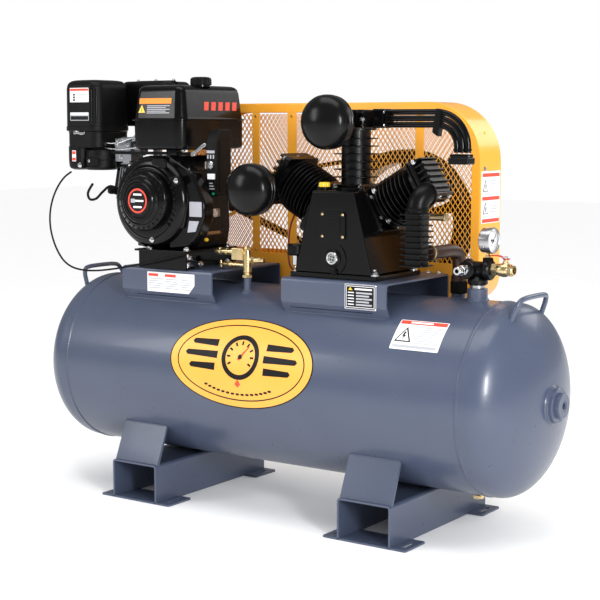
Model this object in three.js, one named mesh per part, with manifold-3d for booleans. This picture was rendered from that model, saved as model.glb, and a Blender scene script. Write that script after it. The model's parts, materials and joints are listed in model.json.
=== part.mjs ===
// Stationary air compressor: a petrol engine belt-drives a three-cylinder pump on a horizontal air receiver.
// Millimetres, +Z up, +X along the receiver from the engine towards the pump, -Y the operator's side.
// In the functions x = 0 is the receiver's middle, y = 0 its axis and z = 0 the floor.
import * as THREE from "three";
import { mergeVertices } from "three/addons/utils/BufferGeometryUtils.js";
import Module from "manifold-3d";

const wasm = await Module();
wasm.setup();

// ---- Driving dimensions ----
const GAP = 0.3; // clearance between touching pieces
const TANK_SIDES = 30; // facets round the receiver
const GUARD_REAR = 280; // the guard's rear face, the rearmost surface
const FOOT_HALF_DEPTH = 236; // the feet reach this far to the front and the rear
const CENTRE_Y = (GUARD_REAR - FOOT_HALF_DEPTH) / 2; // middle of the whole object's depth

const TANK = { radius: 228.5, wall: 4, axisZ: 333, halfShell: 588, headDepth: 134 };
const END_BOSS = { radius: 42, reach: 736, bore: 17 };
const END_PLUG = { acrossFlats: 41, reach: 745 };
const OUTLET = { x: 519.5, radius: 24, bore: 13, top: 590 };
const PILOT = { x: -98, y: -75, radius: 9.5, bore: 5, top: 584 };
const CHECK_PORT = { x: 438, y: 58, radius: 17, bore: 11 };
const DRAIN_PORT = { x: 537, radius: 8 };

const FOOT = { centres: [354, -347], webWidth: 146, baseWidth: 228, top: 102, plate: 5, padDepth: 93 };
const FOOT_SLOT = { length: 50, width: 10 };
const DECK = { half: 150, top: 602, plate: 5, bendZ: 546, footY: 134, footZ: 518 };
const PUMP_DECK_X = [60, 360];
const ENGINE_DECK_X = [-454, -155];

const ENGINE = { x: -352, z: 777, shaft: 14 };
const ENGINE_BASE = { x0: -388, x1: -230, y0: -159, y1: 51, top: 650, plate: 5 };
const SHROUD = { radius: 119, y0: -165, y1: -99, wall: 3, drop: 5 };
const RECOIL = { radius: 79, front: -203 };
const ENGINE_TOP = 890; // top of the crankcase block
const CYLINDER_TILT = 12; // degrees above level, engine cylinder
const FUEL = { x0: -440, x1: -257, y0: -137, y1: 148, bottom: 905, rim: 983, top: 1072, inset: 14, wall: 2 };
const FUEL_CAP = { x: -294, y: -12, radius: 27, top: 1094 };
const MUFFLER = { x0: -612, x1: -446, y0: 30, y1: 138, bottom: 966, top: 1088, round: 24, wall: 2 };
const AIR_BOX = { x0: -683, x1: -556, y0: -130, y1: 18, bottom: 845, join: 953, top: 1090, wall: 3 };
const CONTROL_BOX = { x0: -215, x1: -181, y0: -95, y1: -30, bottom: 787, top: 959, keyZ: 868 };

const PUMP = { x: 190, z: 722, shaft: 16 };
const CASE = { y0: -120, y1: 90, halfBase: 110, halfTop: 60, base: 602, shoulder: 616, top: 813, wall: 12 };
const CYLINDER_PAD = 104; // distance of the slanted cylinder pads from the crank axis
const BORES = {
  left: { lean: -60, fin: 68, bore: 40, foot: 104, deck: 212, head: 44, halfHead: 66 },
  centre: { lean: 0, fin: 56, bore: 34, foot: 91, deck: 240, head: 46, halfHead: 56 },
  right: { lean: 60, fin: 60, bore: 28, foot: 104, deck: 222, head: 44, halfHead: 54 },
};
const CYLINDER_FINS = 4;
const CYLINDER_Y = -15; // the cylinders' common plane
const FILTER = { radius: 65, front: -185, ring: -118 };
const FILTERS = { centre: { x: 188, z: 976 }, left: { x: -37, z: 811 } };

const BELT = { y0: 208, y1: 250, thickness: 10, clearance: 1 };
const FLYWHEEL = { seat: 173, flange: 185, rim: 22, hub: 36, spokes: 5, spokeWidth: 26 };
const PULLEY = { seat: 35.3, flange: 48 };

const GUARD = { x0: -490, x1: 434, y0: 167, bottom: 530, top: 1027, corner: 150, lowCorner: 60, sheet: 2 };
const GUARD_FRAME = { edge: 24, meshBottom: 625, web: 1.2 };
const GUARD_POSTS = [[-260, -237], [-144, -115], [250, 274]];

// ---- Colours ----
const COLOURS = {
  slate: 0x5f6a7d,
  amber: 0xf2a42c,
  black: 0x141416,
  iron: 0x1c1c1f,
  plastic: 0x18181a,
  steel: 0x9da0a4,
  chrome: 0xc8cacc,
  brass: 0xcaa86a,
  aluminium: 0xb4b6b8,
  red: 0xb8182a,
  yellow: 0xf0c020,
  rubber: 0x121212,
  glass: 0xdfe6e6,
};
const METALNESS = { steel: 1, chrome: 1, brass: 1, aluminium: 1 };
const ROUGHNESS = { slate: 0.35, amber: 0.35, black: 0.3, rubber: 0.8, plastic: 0.5, chrome: 0.12 };

// ---- Solids ----
// A closed three.js geometry as a solid, with its shared vertices merged and its faces turned outwards.
function solid(geometry) {
  const bare = geometry.clone();
  bare.deleteAttribute("normal");
  bare.deleteAttribute("uv");
  const merged = mergeVertices(bare, 1e-4);
  const index = merged.index.array;
  const corners = [];
  for (let i = 0; i < index.length; i += 3) {
    const [a, b, c] = [index[i], index[i + 1], index[i + 2]];
    if (a !== b && b !== c && c !== a) corners.push(a, b, c);
  }
  const vertProperties = new Float32Array(merged.attributes.position.array);
  const build = (triVerts) => new wasm.Manifold(new wasm.Mesh({ numProp: 3, vertProperties, triVerts }));
  const made = build(new Uint32Array(corners));
  if (made.volume() > 0) return made;
  return build(new Uint32Array(corners.reverse()));
}

function join(...pieces) {
  return pieces.reduce((whole, piece) => whole.add(piece));
}

function cut(whole, ...tools) {
  return tools.reduce((rest, tool) => rest.subtract(tool), whole);
}

function geometryOf(body) {
  const mesh = body.getMesh();
  const stride = mesh.numProp;
  const vertexCount = mesh.vertProperties.length / stride;
  const positions = new Float32Array(vertexCount * 3);
  for (let i = 0; i < vertexCount; i++) {
    positions.set(mesh.vertProperties.subarray(i * stride, i * stride + 3), i * 3);
  }
  const geometry = new THREE.BufferGeometry();
  geometry.setAttribute("position", new THREE.BufferAttribute(positions, 3));
  geometry.setIndex(new THREE.BufferAttribute(new Uint32Array(mesh.triVerts), 1));
  geometry.computeVertexNormals();
  return geometry;
}

// Two coordinates, lower first.
function between(a, b) {
  return a < b ? [a, b] : [b, a];
}

function box(x0, x1, y0, y1, z0, z1) {
  const geometry = new THREE.BoxGeometry(x1 - x0, y1 - y0, z1 - z0);
  return solid(geometry.translate((x0 + x1) / 2, (y0 + y1) / 2, (z0 + z1) / 2));
}

function outline(points) {
  return new THREE.Shape(points.map(([a, b]) => new THREE.Vector2(a, b)));
}

function roundedRectangle(x0, x1, y0, y1, radii) {
  const [r0, r1, r2, r3] = Array.isArray(radii) ? radii : [radii, radii, radii, radii];
  const shape = new THREE.Shape();
  shape.moveTo(x0 + r0, y0);
  shape.lineTo(x1 - r1, y0);
  if (r1) shape.absarc(x1 - r1, y0 + r1, r1, -Math.PI / 2, 0, false);
  shape.lineTo(x1, y1 - r2);
  if (r2) shape.absarc(x1 - r2, y1 - r2, r2, 0, Math.PI / 2, false);
  shape.lineTo(x0 + r3, y1);
  if (r3) shape.absarc(x0 + r3, y1 - r3, r3, Math.PI / 2, Math.PI, false);
  shape.lineTo(x0, y0 + r0);
  if (r0) shape.absarc(x0 + r0, y0 + r0, r0, Math.PI, 1.5 * Math.PI, false);
  return shape;
}

function slab(shape, depth, curveSegments = 3) {
  return new THREE.ExtrudeGeometry(shape, { depth, bevelEnabled: false, curveSegments });
}

// A shape drawn in x and z, swept along y.
function alongY(shape, y0, y1, curveSegments) {
  return solid(slab(shape, y1 - y0, curveSegments).rotateX(Math.PI / 2).translate(0, y1, 0));
}

// A shape drawn in y and z, swept along x.
function alongX(shape, x0, x1, curveSegments) {
  const turn = new THREE.Matrix4().makeBasis(
    new THREE.Vector3(0, 1, 0),
    new THREE.Vector3(0, 0, 1),
    new THREE.Vector3(1, 0, 0),
  );
  return solid(slab(shape, x1 - x0, curveSegments).applyMatrix4(turn).translate(x0, 0, 0));
}

// A shape drawn in x and y, swept along z.
function alongZ(shape, z0, z1, curveSegments) {
  return solid(slab(shape, z1 - z0, curveSegments).translate(0, 0, z0));
}

// A profile of [radius, height] points turned about the line from origin along direction.
function turned(profile, origin, direction, segments = 12) {
  const points = profile.map(([r, h]) => new THREE.Vector2(r, h));
  const up = new THREE.Vector3(0, 1, 0);
  const turn = new THREE.Quaternion().setFromUnitVectors(up, new THREE.Vector3(...direction).normalize());
  const geometry = new THREE.LatheGeometry(points, segments).applyQuaternion(turn).translate(...origin);
  return solid(geometry);
}

function cylinder(radius, origin, direction, length, segments = 12) {
  return turned([[0, 0], [radius, 0], [radius, length], [0, length]], origin, direction, segments);
}

function ring(outer, inner, origin, direction, length, segments = 12) {
  const profile = [[inner, 0], [outer, 0], [outer, length], [inner, length], [inner, 0]];
  return turned(profile, origin, direction, segments);
}

function hexagon(acrossFlats, origin, direction, length) {
  return cylinder(acrossFlats / Math.sqrt(3), origin, direction, length, 6);
}

// A round rod along a smooth curve through the points.
function rod(points, radius, sides = 10, steps = 30) {
  const curve = new THREE.CatmullRomCurve3(points.map((p) => new THREE.Vector3(...p)), false, "centripetal");
  const section = outline(
    Array.from({ length: sides }, (_, i) => {
      const angle = (2 * Math.PI * i) / sides;
      return [radius * Math.cos(angle), radius * Math.sin(angle)];
    }),
  );
  return solid(new THREE.ExtrudeGeometry(section, { extrudePath: curve, steps, bevelEnabled: false }));
}

// A vertical prism whose outline shrinks by inset on every side from z0 to z1.
function tapered(x0, x1, y0, y1, radius, z0, z1, inset) {
  const geometry = slab(roundedRectangle(x0, x1, y0, y1, radius), z1 - z0, 2);
  const [midX, midY] = [(x0 + x1) / 2, (y0 + y1) / 2];
  const position = geometry.attributes.position;
  for (let i = 0; i < position.count; i++) {
    const share = position.getZ(i) / (z1 - z0);
    const scaleX = 1 - (2 * inset * share) / (x1 - x0);
    const scaleY = 1 - (2 * inset * share) / (y1 - y0);
    position.setXY(
      i,
      midX + (position.getX(i) - midX) * scaleX,
      midY + (position.getY(i) - midY) * scaleY,
    );
  }
  return solid(geometry.translate(0, 0, z0));
}

const group = new THREE.Group();
group.position.set(0, -CENTRE_Y, 0);

function add(name, colour, body) {
  const material = new THREE.MeshStandardMaterial({
    color: COLOURS[colour],
    metalness: METALNESS[colour] ?? 0,
    roughness: ROUGHNESS[colour] ?? 0.4,
  });
  const mesh = new THREE.Mesh(geometryOf(body), material);
  mesh.name = name;
  group.add(mesh);
}

// ---- Air receiver ----
function tankEnvelope(extra, length) {
  return cylinder(TANK.radius + extra, [-length, 0, TANK.axisZ], [1, 0, 0], 2 * length, TANK_SIDES);
}

// Height of the receiver's surface above the floor at a distance y from its axis.
function tankTopAt(y) {
  return TANK.axisZ + Math.sqrt(TANK.radius ** 2 - y ** 2);
}

// A threaded socket welded to the shell: the outside, and the hole through it and the shell.
function bung(port, top) {
  const y = port.y ?? 0;
  const foot = tankTopAt(Math.abs(y) + port.radius) - TANK.wall;
  return {
    body: cylinder(port.radius, [port.x, y, foot], [0, 0, 1], top - foot),
    hole: cylinder(port.bore, [port.x, y, foot - 40], [0, 0, 1], top - foot + 80),
  };
}

function tankShell() {
  const { radius, wall, axisZ, halfShell } = TANK;
  const tube = ring(radius, radius - wall, [-halfShell, 0, axisZ], [1, 0, 0], 2 * halfShell, TANK_SIDES);
  const bungs = [
    bung(OUTLET, OUTLET.top),
    bung(PILOT, PILOT.top),
    bung(CHECK_PORT, tankTopAt(CHECK_PORT.y) + 14),
  ];
  const drainHole = cylinder(DRAIN_PORT.radius, [DRAIN_PORT.x, 0, 80], [0, 0, 1], 60, 16);
  return cut(join(tube, ...bungs.map((b) => b.body)), ...bungs.map((b) => b.hole), drainHole);
}

// A dished head with its centre boss and hexagon plug; side is 1 for the right end and -1 for the left.
function tankHead(side) {
  const { radius, wall, axisZ, halfShell, headDepth } = TANK;
  const start = halfShell + GAP;
  const steps = 5;
  const dome = (r, depth) =>
    Array.from({ length: steps + 1 }, (_, i) => {
      const angle = (i / steps) * (Math.PI / 2);
      return [r * Math.cos(angle), start + depth * Math.sin(angle)];
    });
  const outside = dome(radius, headDepth);
  outside[steps][0] = 0;
  const inside = dome(radius - wall, headDepth - wall);
  inside[steps][0] = 0;
  const along = [side, 0, 0];
  const cup = turned([...outside, ...inside.reverse(), outside[0]], [0, 0, axisZ], along, TANK_SIDES);
  const bossFoot = start + headDepth - 14;
  const boss = cylinder(END_BOSS.radius, [side * bossFoot, 0, axisZ], along, END_BOSS.reach - bossFoot, 20);
  const plug = hexagon(
    END_PLUG.acrossFlats,
    [side * (END_BOSS.reach - 1), 0, axisZ],
    along,
    END_PLUG.reach - END_BOSS.reach + 1,
  );
  const socket = box(
    ...between(side * (END_PLUG.reach - 7), side * (END_PLUG.reach + 5)),
    -7, 7, axisZ - 7, axisZ + 7,
  );
  return cut(join(cup, boss, plug), socket);
}

// A bent rod handle on top of a head.
function tankHandle(side) {
  const half = [[646, 78, 526], [653, 78, 548], [660, 74, 568], [664, 60, 577], [665, 35, 579]];
  const front = half.map(([x, y, z]) => [side * x, -y, z]);
  const rear = half.map(([x, y, z]) => [side * x, y, z]).reverse();
  const bar = rod([...front, [side * 665, 0, 579], ...rear], 6, 8, 12);
  const footSpan = between(side * 640, side * 652);
  const feet = [-78, 78].map((y) => box(...footSpan, y - 6, y + 6, 515, 530));
  const round = TANK.radius + 1;
  const head = new THREE.SphereGeometry(1, 30, 16).scale(TANK.headDepth + 1, round, round);
  return cut(join(bar, ...feet), solid(head.translate(side * (TANK.halfShell + GAP), 0, TANK.axisZ)));
}

// A bent-plate foot: an upside-down channel, a base pad at each end and two sloping cheeks.
function foot(centre) {
  const { webWidth, baseWidth, top, plate, padDepth } = FOOT;
  const halfWeb = webWidth / 2;
  const halfBase = baseWidth / 2;
  const pieces = [
    box(centre - halfWeb, centre + halfWeb, -FOOT_HALF_DEPTH, FOOT_HALF_DEPTH, top - plate, top),
    box(centre - halfWeb, centre - halfWeb + plate, -FOOT_HALF_DEPTH, FOOT_HALF_DEPTH, 0, top),
    box(centre + halfWeb - plate, centre + halfWeb, -FOOT_HALF_DEPTH, FOOT_HALF_DEPTH, 0, top),
  ];
  const slots = [];
  for (const side of [-1, 1]) {
    const ends = between(side * FOOT_HALF_DEPTH, side * (FOOT_HALF_DEPTH - padDepth));
    pieces.push(box(centre - halfBase, centre + halfBase, ...ends, 0, plate));
    const cheek = outline([
      [side * 226, top - plate],
      [side * 226, top],
      [side * 186, 197],
      [side * 181, 193],
      [side * 219, top - plate],
    ]);
    pieces.push(alongX(cheek, centre - halfWeb + 2, centre + halfWeb - 2));
    for (const edge of [-1, 1]) {
      const x = centre + edge * (halfWeb + halfBase) / 2;
      const y = side * (FOOT_HALF_DEPTH - padDepth / 2);
      const [halfLong, halfWide] = [FOOT_SLOT.length / 2, FOOT_SLOT.width / 2];
      const slot = roundedRectangle(x - halfWide, x + halfWide, y - halfLong, y + halfLong, halfWide - 0.1);
      slots.push(alongZ(slot, -1, plate + 1, 1));
    }
  }
  return cut(join(...pieces), ...slots, tankEnvelope(GAP, TANK.halfShell));
}

// A bent-sheet deck: a flat top, two aprons and a lip folded in to the receiver, with a spacer to the guard.
function deck([x0, x1], spacerX) {
  const { half, top, plate, bendZ, footY, footZ } = DECK;
  const side = (s) => [
    [s * half, top],
    [s * half, bendZ],
    [s * footY, footZ - 6],
    [s * (footY - plate), footZ - 3],
    [s * (half - plate), bendZ + 1],
    [s * (half - plate), top - plate],
  ];
  const section = outline([...side(-1), ...side(1).reverse()]);
  const spacer = box(spacerX, spacerX + 60, half - 1, GUARD.y0 - GAP, bendZ + 8, top - 8);
  const slots = [0.12, 0.8].map((share) => {
    const x = x0 + share * (x1 - x0);
    return alongY(roundedRectangle(x, x + 24, 564, 573, 4.4), half - 8, half + 8, 1);
  });
  return cut(join(alongX(section, x0, x1), spacer), ...slots, tankEnvelope(GAP, TANK.halfShell));
}

function drainBody() {
  const { x } = DRAIN_PORT;
  const neck = turned(
    [[0, 0], [6, 0], [6, 4], [11, 4], [11, 13], [7.4, 13], [7.4, 24], [0, 24]],
    [x, 0, 87.5],
    [0, 0, 1],
    12,
  );
  return cut(neck, cylinder(3, [x, 0, 80], [0, 0, 1], 40, 12));
}

function drainKnob() {
  const { x } = DRAIN_PORT;
  return join(
    cylinder(4.5, [x, -11.4, 95.5], [0, -1, 0], 10, 12),
    box(x - 9, x + 9, -25, -21, 92, 99),
  );
}

// ---- Engine ----
function engineBase() {
  const { x0, x1, y0, y1, top, plate } = ENGINE_BASE;
  const bottom = DECK.top + GAP;
  return join(
    box(x0 - 12, x1 + 4, y0 - 6, y1 + 4, top - plate, top),
    box(x0, x1, y0, y0 + plate, bottom, top),
    box(x0, x1, y1 - plate, y1, bottom, top),
    box(x0, x1, y0, y0 + 34, bottom, bottom + plate),
    box(x0, x1, y1 - 34, y1, bottom, bottom + plate),
  );
}

function engineBlock() {
  const base = ENGINE_BASE.top + GAP;
  const shape = (inset) =>
    outline([
      [-446 + inset, base + inset],
      [-262 - inset, base + inset],
      [-252 - inset, 700],
      [-260 - inset, 858 - inset],
      [-296, ENGINE_TOP - inset],
      [-404, ENGINE_TOP - inset],
      [-446 + inset, 850 - inset],
    ]);
  const shaftHole = cylinder(ENGINE.shaft + 12, [ENGINE.x, -120, ENGINE.z], [0, 1, 0], 220);
  const cylinderSeat = cylinder(90, engineAt(97 - GAP), ENGINE_AXIS, 80, 24);
  return cut(alongY(shape(0), -98, 64), alongY(shape(10), -100, 50), shaftHole, cylinderSeat);
}

// Direction of the engine's cylinder, and a point along it at distance s from the crank axis.
const TILT = THREE.MathUtils.degToRad(CYLINDER_TILT);
const ENGINE_AXIS = [-Math.cos(TILT), 0, Math.sin(TILT)];
const engineAt = (s) => [ENGINE.x + ENGINE_AXIS[0] * s, -17, ENGINE.z + ENGINE_AXIS[2] * s];

function engineCylinder() {
  const profile = [[0, 97], [50, 97], [50, 102]];
  for (let i = 0; i < 3; i++) {
    const s = 106 + i * 15;
    profile.push([50, s], [64, s], [64, s + 4], [50, s + 4]);
  }
  profile.push([50, 152], [0, 152]);
  return turned(profile, [ENGINE.x, -17, ENGINE.z], ENGINE_AXIS, 14);
}

function engineHead() {
  const pieces = [];
  const place = (shape, s0, s1) => {
    const geometry = slab(shape, s1 - s0, 1);
    const turn = new THREE.Matrix4().makeBasis(
      new THREE.Vector3(0, 1, 0),
      new THREE.Vector3(Math.sin(TILT), 0, Math.cos(TILT)),
      new THREE.Vector3(...ENGINE_AXIS),
    );
    return solid(geometry.applyMatrix4(turn).translate(...engineAt(s0)));
  };
  pieces.push(place(roundedRectangle(-46, 46, -42, 42, 8), 152 + GAP, 188));
  for (const s of [155, 165, 175]) pieces.push(place(roundedRectangle(-60, 60, -46, 46, 6), s, s + 4));
  pieces.push(place(roundedRectangle(-48, 48, -40, 38, 12), 187, 204));
  const plugFoot = engineAt(172);
  const plug = turned(
    [[0, 0], [11, 0], [11, 8], [8, 9], [8, 16], [6, 18], [6, 40], [0, 40]],
    [plugFoot[0], plugFoot[1] - 58, plugFoot[2] - 18],
    [-0.35, -1, 0],
    12,
  );
  pieces.push(plug);
  return join(...pieces);
}

function fanHousing() {
  const { radius, y0, y1, wall } = SHROUD;
  const centre = [ENGINE.x, 0, ENGINE.z - SHROUD.drop];
  const depth = y1 - y0;
  const floor = ENGINE_BASE.top + GAP;
  const bowl = (r, front, bevel) =>
    turned(
      [[0, front], [r - bevel, front], [r, front + bevel], [r, depth], [0, depth]],
      [centre[0], y0, centre[2]],
      [0, 1, 0],
      24,
    );
  const shoulder = alongY(
    outline([
      [-300, floor],
      [-236, floor + 8],
      [-205, 690],
      [-184, 735],
      [-184, 778],
      [-222, 850],
      [-300, 880],
    ]),
    y0 + 22,
    y1,
  );
  const shell = join(bowl(radius, 0, 26), shoulder);
  const below = box(-600, 0, -300, 0, 500, floor);
  const hollow = bowl(radius - wall, wall, 26).translate([0, 0.01, 0]);
  const inlet = cylinder(72, [ENGINE.x, y0 - 5, ENGINE.z], [0, 1, 0], 20, 24);
  const vent = cylinder(radius - 12, [centre[0], y1 - 5, centre[2]], [0, 1, 0], 20, 24);
  return cut(shell, hollow, inlet, vent, below);
}

function recoilCover() {
  const { radius, front } = RECOIL;
  const back = SHROUD.y0 - GAP;
  const depth = back - front;
  const profile = [
    [0, 0],
    [33, 0],
    [36, 3],
    [52, 5],
    [60, 11],
    [72, 14],
    [radius, 22],
    [radius, depth],
    [radius - 4, depth],
    [radius - 4, 24],
    [50, 12],
    [0, 8],
  ];
  return turned(profile, [ENGINE.x, front, ENGINE.z], [0, 1, 0], 20);
}

function recoilGrip() {
  const [x, z] = [-292, 872];
  return join(
    turned([[0, 0], [9, 0], [13, 5], [13, 12], [8, 17], [0, 17]], [x, -184, z], [0, 1, 0], 16),
    box(x - 24, x + 24, -192, -183, z - 8, z + 8),
  );
}

function engineShaft() {
  const fan = turned(
    [[0, 0], [60, 0], [60, 6], [98, 6], [98, 34], [90, 34], [90, 14], [24, 14], [24, 34], [0, 34]],
    [ENGINE.x, -140, ENGINE.z],
    [0, 1, 0],
    24,
  );
  const shaft = cylinder(ENGINE.shaft, [ENGINE.x, -108, ENGINE.z], [0, 1, 0], 370, 16);
  return join(fan, shaft);
}

function enginePulley() {
  const { seat, flange } = PULLEY;
  const [y0, y1] = [BELT.y0 - 6, BELT.y1 + 6];
  const bore = ENGINE.shaft + GAP;
  const profile = [
    [bore, 0],
    [flange, 0],
    [flange, 5.7],
    [seat, 5.7],
    [seat, y1 - y0 - 5.7],
    [flange, y1 - y0 - 5.7],
    [flange, y1 - y0],
    [bore, y1 - y0],
    [bore, 0],
  ];
  return turned(profile, [ENGINE.x, y0, ENGINE.z], [0, 1, 0], 24);
}

function fuelTank() {
  const { x0, x1, y0, y1, bottom, rim, top, inset, wall } = FUEL;
  const round = 26;
  const flange = alongZ(roundedRectangle(x0, x1, y0, y1, round), rim - 2, rim + 2, 3);
  const shell = (shrink) => {
    const edge = 5 + shrink;
    const [a, b, c, d] = [x0 + edge, x1 - edge, y0 + edge, y1 - edge];
    return join(
      tapered(a, b, c, d, round - 4, rim - 0.01, top - shrink, inset),
      alongZ(roundedRectangle(a, b, c, d, round - 4), bottom + shrink, rim, 2),
    );
  };
  const neckHole = cylinder(20, [FUEL_CAP.x, FUEL_CAP.y, rim], [0, 0, 1], 200, 16);
  const neck = ring(23, 20, [FUEL_CAP.x, FUEL_CAP.y, top - 4], [0, 0, 1], 8, 16);
  const feet = [-80, 90].map((y) => box(-348, -312, y - 12, y + 12, ENGINE_TOP + GAP, bottom + 1));
  return join(cut(join(shell(0), flange, ...feet), shell(wall), neckHole), neck);
}

function fuelCap() {
  const { x, y, radius, top } = FUEL_CAP;
  const bottom = FUEL.top + 0.6;
  const height = top - bottom;
  const profile = [
    [23 + GAP, 0],
    [radius, 0],
    [radius - 1, height - 4],
    [radius - 5, height],
    [0, height],
    [0, height - 4],
    [23 + GAP, height - 4],
    [23 + GAP, 0],
  ];
  const lobes = Array.from({ length: 6 }, (_, i) => {
    const angle = (i * Math.PI) / 3;
    const place = [x + (radius - 1) * Math.cos(angle), y + (radius - 1) * Math.sin(angle), bottom + 1];
    return cylinder(3, place, [0, 0, 1], height - 5, 8);
  });
  return join(turned(profile, [x, y, bottom], [0, 0, 1], 20), ...lobes);
}

function airCleanerCover() {
  const { x0, x1, y0, y1, join: low, top, wall } = AIR_BOX;
  const round = 30;
  return cut(
    join(
      alongZ(roundedRectangle(x0, x1, y0, y1, round), low, top - 12, 2),
      tapered(x0, x1, y0, y1, round, top - 12.01, top, 10),
    ),
    alongZ(roundedRectangle(x0 + wall, x1 - wall, y0 + wall, y1 - wall, round - wall), low - 1, top - 14, 2),
  );
}

function airCleanerBase() {
  const { x0, x1, y0, y1, bottom, join: seam } = AIR_BOX;
  const round = 26;
  const top = seam - GAP;
  const outer = roundedRectangle(x0 + 5, x1 - 2, y0 + 5, y1 - 4, round);
  const chamber = roundedRectangle(x0 + 9, x1 - 6, y0 + 9, y1 - 8, round - 4);
  const barrel = cylinder(44, [x1 - 32, y0 + 52, bottom + 4], [0, 0, 1], 58, 20);
  const shell = join(alongZ(outer, bottom, top, 2), barrel);
  const window = box(x0 + 42, x1 + 30, y0 - 2, y0 + 60, bottom + 64, top - 12);
  return cut(shell, alongZ(chamber, bottom + 50, top + 1, 2), window);
}

function carburetor() {
  return join(
    box(-534, -478, -84, -30, 872, 926),
    cylinder(22, [-508, -57, 925], [0, 0, 1], 12),
    cylinder(24, [-506, -57, 864], [0, 0, 1], 9),
    cylinder(17, [-534.5, -57, 905], [1, 0, 0], 82),
  );
}

// A box muffler above the cylinder head, on its exhaust pipe.
function muffler() {
  const { x0, x1, y0, y1, bottom, top, round, wall } = MUFFLER;
  const shape = (inset) =>
    roundedRectangle(x0 + inset, x1 - inset, bottom + inset, top - inset, round - inset);
  const body = alongY(shape(0), y0, y1, 3);
  const chamber = alongY(shape(wall), y0 + wall, y1 - wall, 1);
  const [outletX, outletZ] = [x0 + 34, bottom + 34];
  const outlet = cylinder(14, [outletX, y1 - wall, outletZ], [0, 1, 0], 19);
  const bore = cylinder(11, [outletX, y1 - 8, outletZ], [0, 1, 0], 40);
  const route = [[45, 816], [62, 816], [75, 832], [77, 862], [77, bottom + 1]];
  const pipe = rod(route.map(([y, z]) => [-520, y, z]), 13, 10, 10);
  return cut(join(cut(body, chamber), outlet, pipe), bore);
}

function controlBox() {
  const { x0, x1, y0, y1, bottom, top } = CONTROL_BOX;
  const side = outline([
    [y0, bottom + 10],
    [y0 + 8, bottom],
    [y1, bottom],
    [y1, top - 6],
    [y1 - 8, top],
    [y0 + 20, top],
    [y0, top - 34],
  ]);
  const bracket = box(-231, x0 + 1, y0 + 20, y1, 810, 840);
  return join(alongX(side, x0, x1), bracket);
}

function keySwitch() {
  const [x, y, z] = [-198, CONTROL_BOX.y0 - GAP, CONTROL_BOX.keyZ];
  return join(
    cylinder(10, [x, y, z], [0, -1, 0], 5),
    box(x - 1.5, x + 1.5, y - 22, y - 4, z - 9, z + 9),
  );
}

function throttleLever() {
  const [x, y, z] = [-262, -82, 895];
  const blade = outline([[x - 5, z], [x + 5, z], [x + 44, z + 22], [x + 42, z + 28], [x + 30, z + 26]]);
  return join(cylinder(7, [x, y, z], [0, -1, 0], 7, 16), alongY(blade, y - 6, y - 3));
}

// ---- Pump ----
function lean(name) {
  const angle = THREE.MathUtils.degToRad(BORES[name].lean);
  return [Math.sin(angle), 0, Math.cos(angle)];
}

function pumpAt(name, s) {
  const [dx, , dz] = lean(name);
  return [PUMP.x + dx * s, CYLINDER_Y, PUMP.z + dz * s];
}

// Turns a geometry drawn upright to a cylinder of the pump, at a distance s from the crank axis.
function ontoBore(geometry, name, s) {
  const [dx, , dz] = lean(name);
  const turn = new THREE.Matrix4().makeBasis(
    new THREE.Vector3(0, 1, 0),
    new THREE.Vector3(-dz, 0, dx),
    new THREE.Vector3(dx, 0, dz),
  );
  return solid(geometry.applyMatrix4(turn).translate(...pumpAt(name, s)));
}

// A rounded block across a cylinder's axis, from distance s0 to s1 from the crank axis.
function acrossBore(name, halfY, halfT, radius, s0, s1) {
  const geometry = slab(roundedRectangle(-halfY, halfY, -halfT, halfT, radius), s1 - s0, 2);
  return ontoBore(geometry, name, s0);
}

function pumpCase() {
  const { y0, y1, halfBase, halfTop, base, shoulder, top, wall } = CASE;
  const { x } = PUMP;
  const shape = (inset, low) =>
    outline([
      [x - halfBase + inset, low],
      [x + halfBase - inset, low],
      [x + halfBase - inset, shoulder],
      [x + halfTop - inset, top - inset],
      [x - halfTop + inset, top - inset],
      [x - halfBase + inset, shoulder],
    ]);
  const foot = box(x - halfBase - 14, x + halfBase + 14, y0 - 4, y1 + 4, base + GAP, shoulder - 2);
  const body = join(
    alongY(shape(0, base + GAP), y0, y1),
    foot,
    acrossBore("left", 74, 66, 10, 40, CYLINDER_PAD),
    acrossBore("right", 66, 60, 10, 40, CYLINDER_PAD),
  );
  const cavity = alongY(shape(wall, base - 1), y0 + wall, y1 - wall);
  const bores = Object.entries(BORES).map(([name, { bore }]) =>
    cylinder(bore, pumpAt(name, 20), lean(name), 90, 16),
  );
  const shaftHole = cylinder(PUMP.shaft + 1, [x, y1 - 40, PUMP.z], [0, 1, 0], 80, 16);
  const above = box(x - 200, x + 200, y0, y1, top, top + 100);
  return cut(body, cavity, ...bores, shaftHole, above);
}

function pumpCover() {
  const y = CASE.y0 - GAP;
  const plate = alongY(roundedRectangle(157, 229, 697, 764, 6), y - 4, y, 3);
  const screws = [[164, 704], [222, 704], [164, 757], [222, 757]].map(([x, z]) =>
    cylinder(4, [x, y - 3, z], [0, -1, 0], 4, 8),
  );
  return join(plate, ...screws);
}

function sightGlass() {
  return cylinder(16, [192, CASE.y0 - GAP, 652], [0, -1, 0], 7, 20);
}

function oilCap() {
  const [x, y] = [146, -88];
  const neck = cylinder(9, [x, y, CASE.top + GAP], [0, 0, 1], 8, 16);
  return join(neck, cylinder(13, [x, y, CASE.top + 7], [0, 0, 1], 12, 12));
}

function pumpShaft() {
  const { x, z, shaft } = PUMP;
  const main = cylinder(shaft, [x, CASE.y0 + 16, z], [0, 1, 0], 372, 20);
  const webs = [-60, 30].map((y) => cylinder(44, [x, y, z - 14], [0, 1, 0], 16, 16));
  return join(main, ...webs);
}

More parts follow.
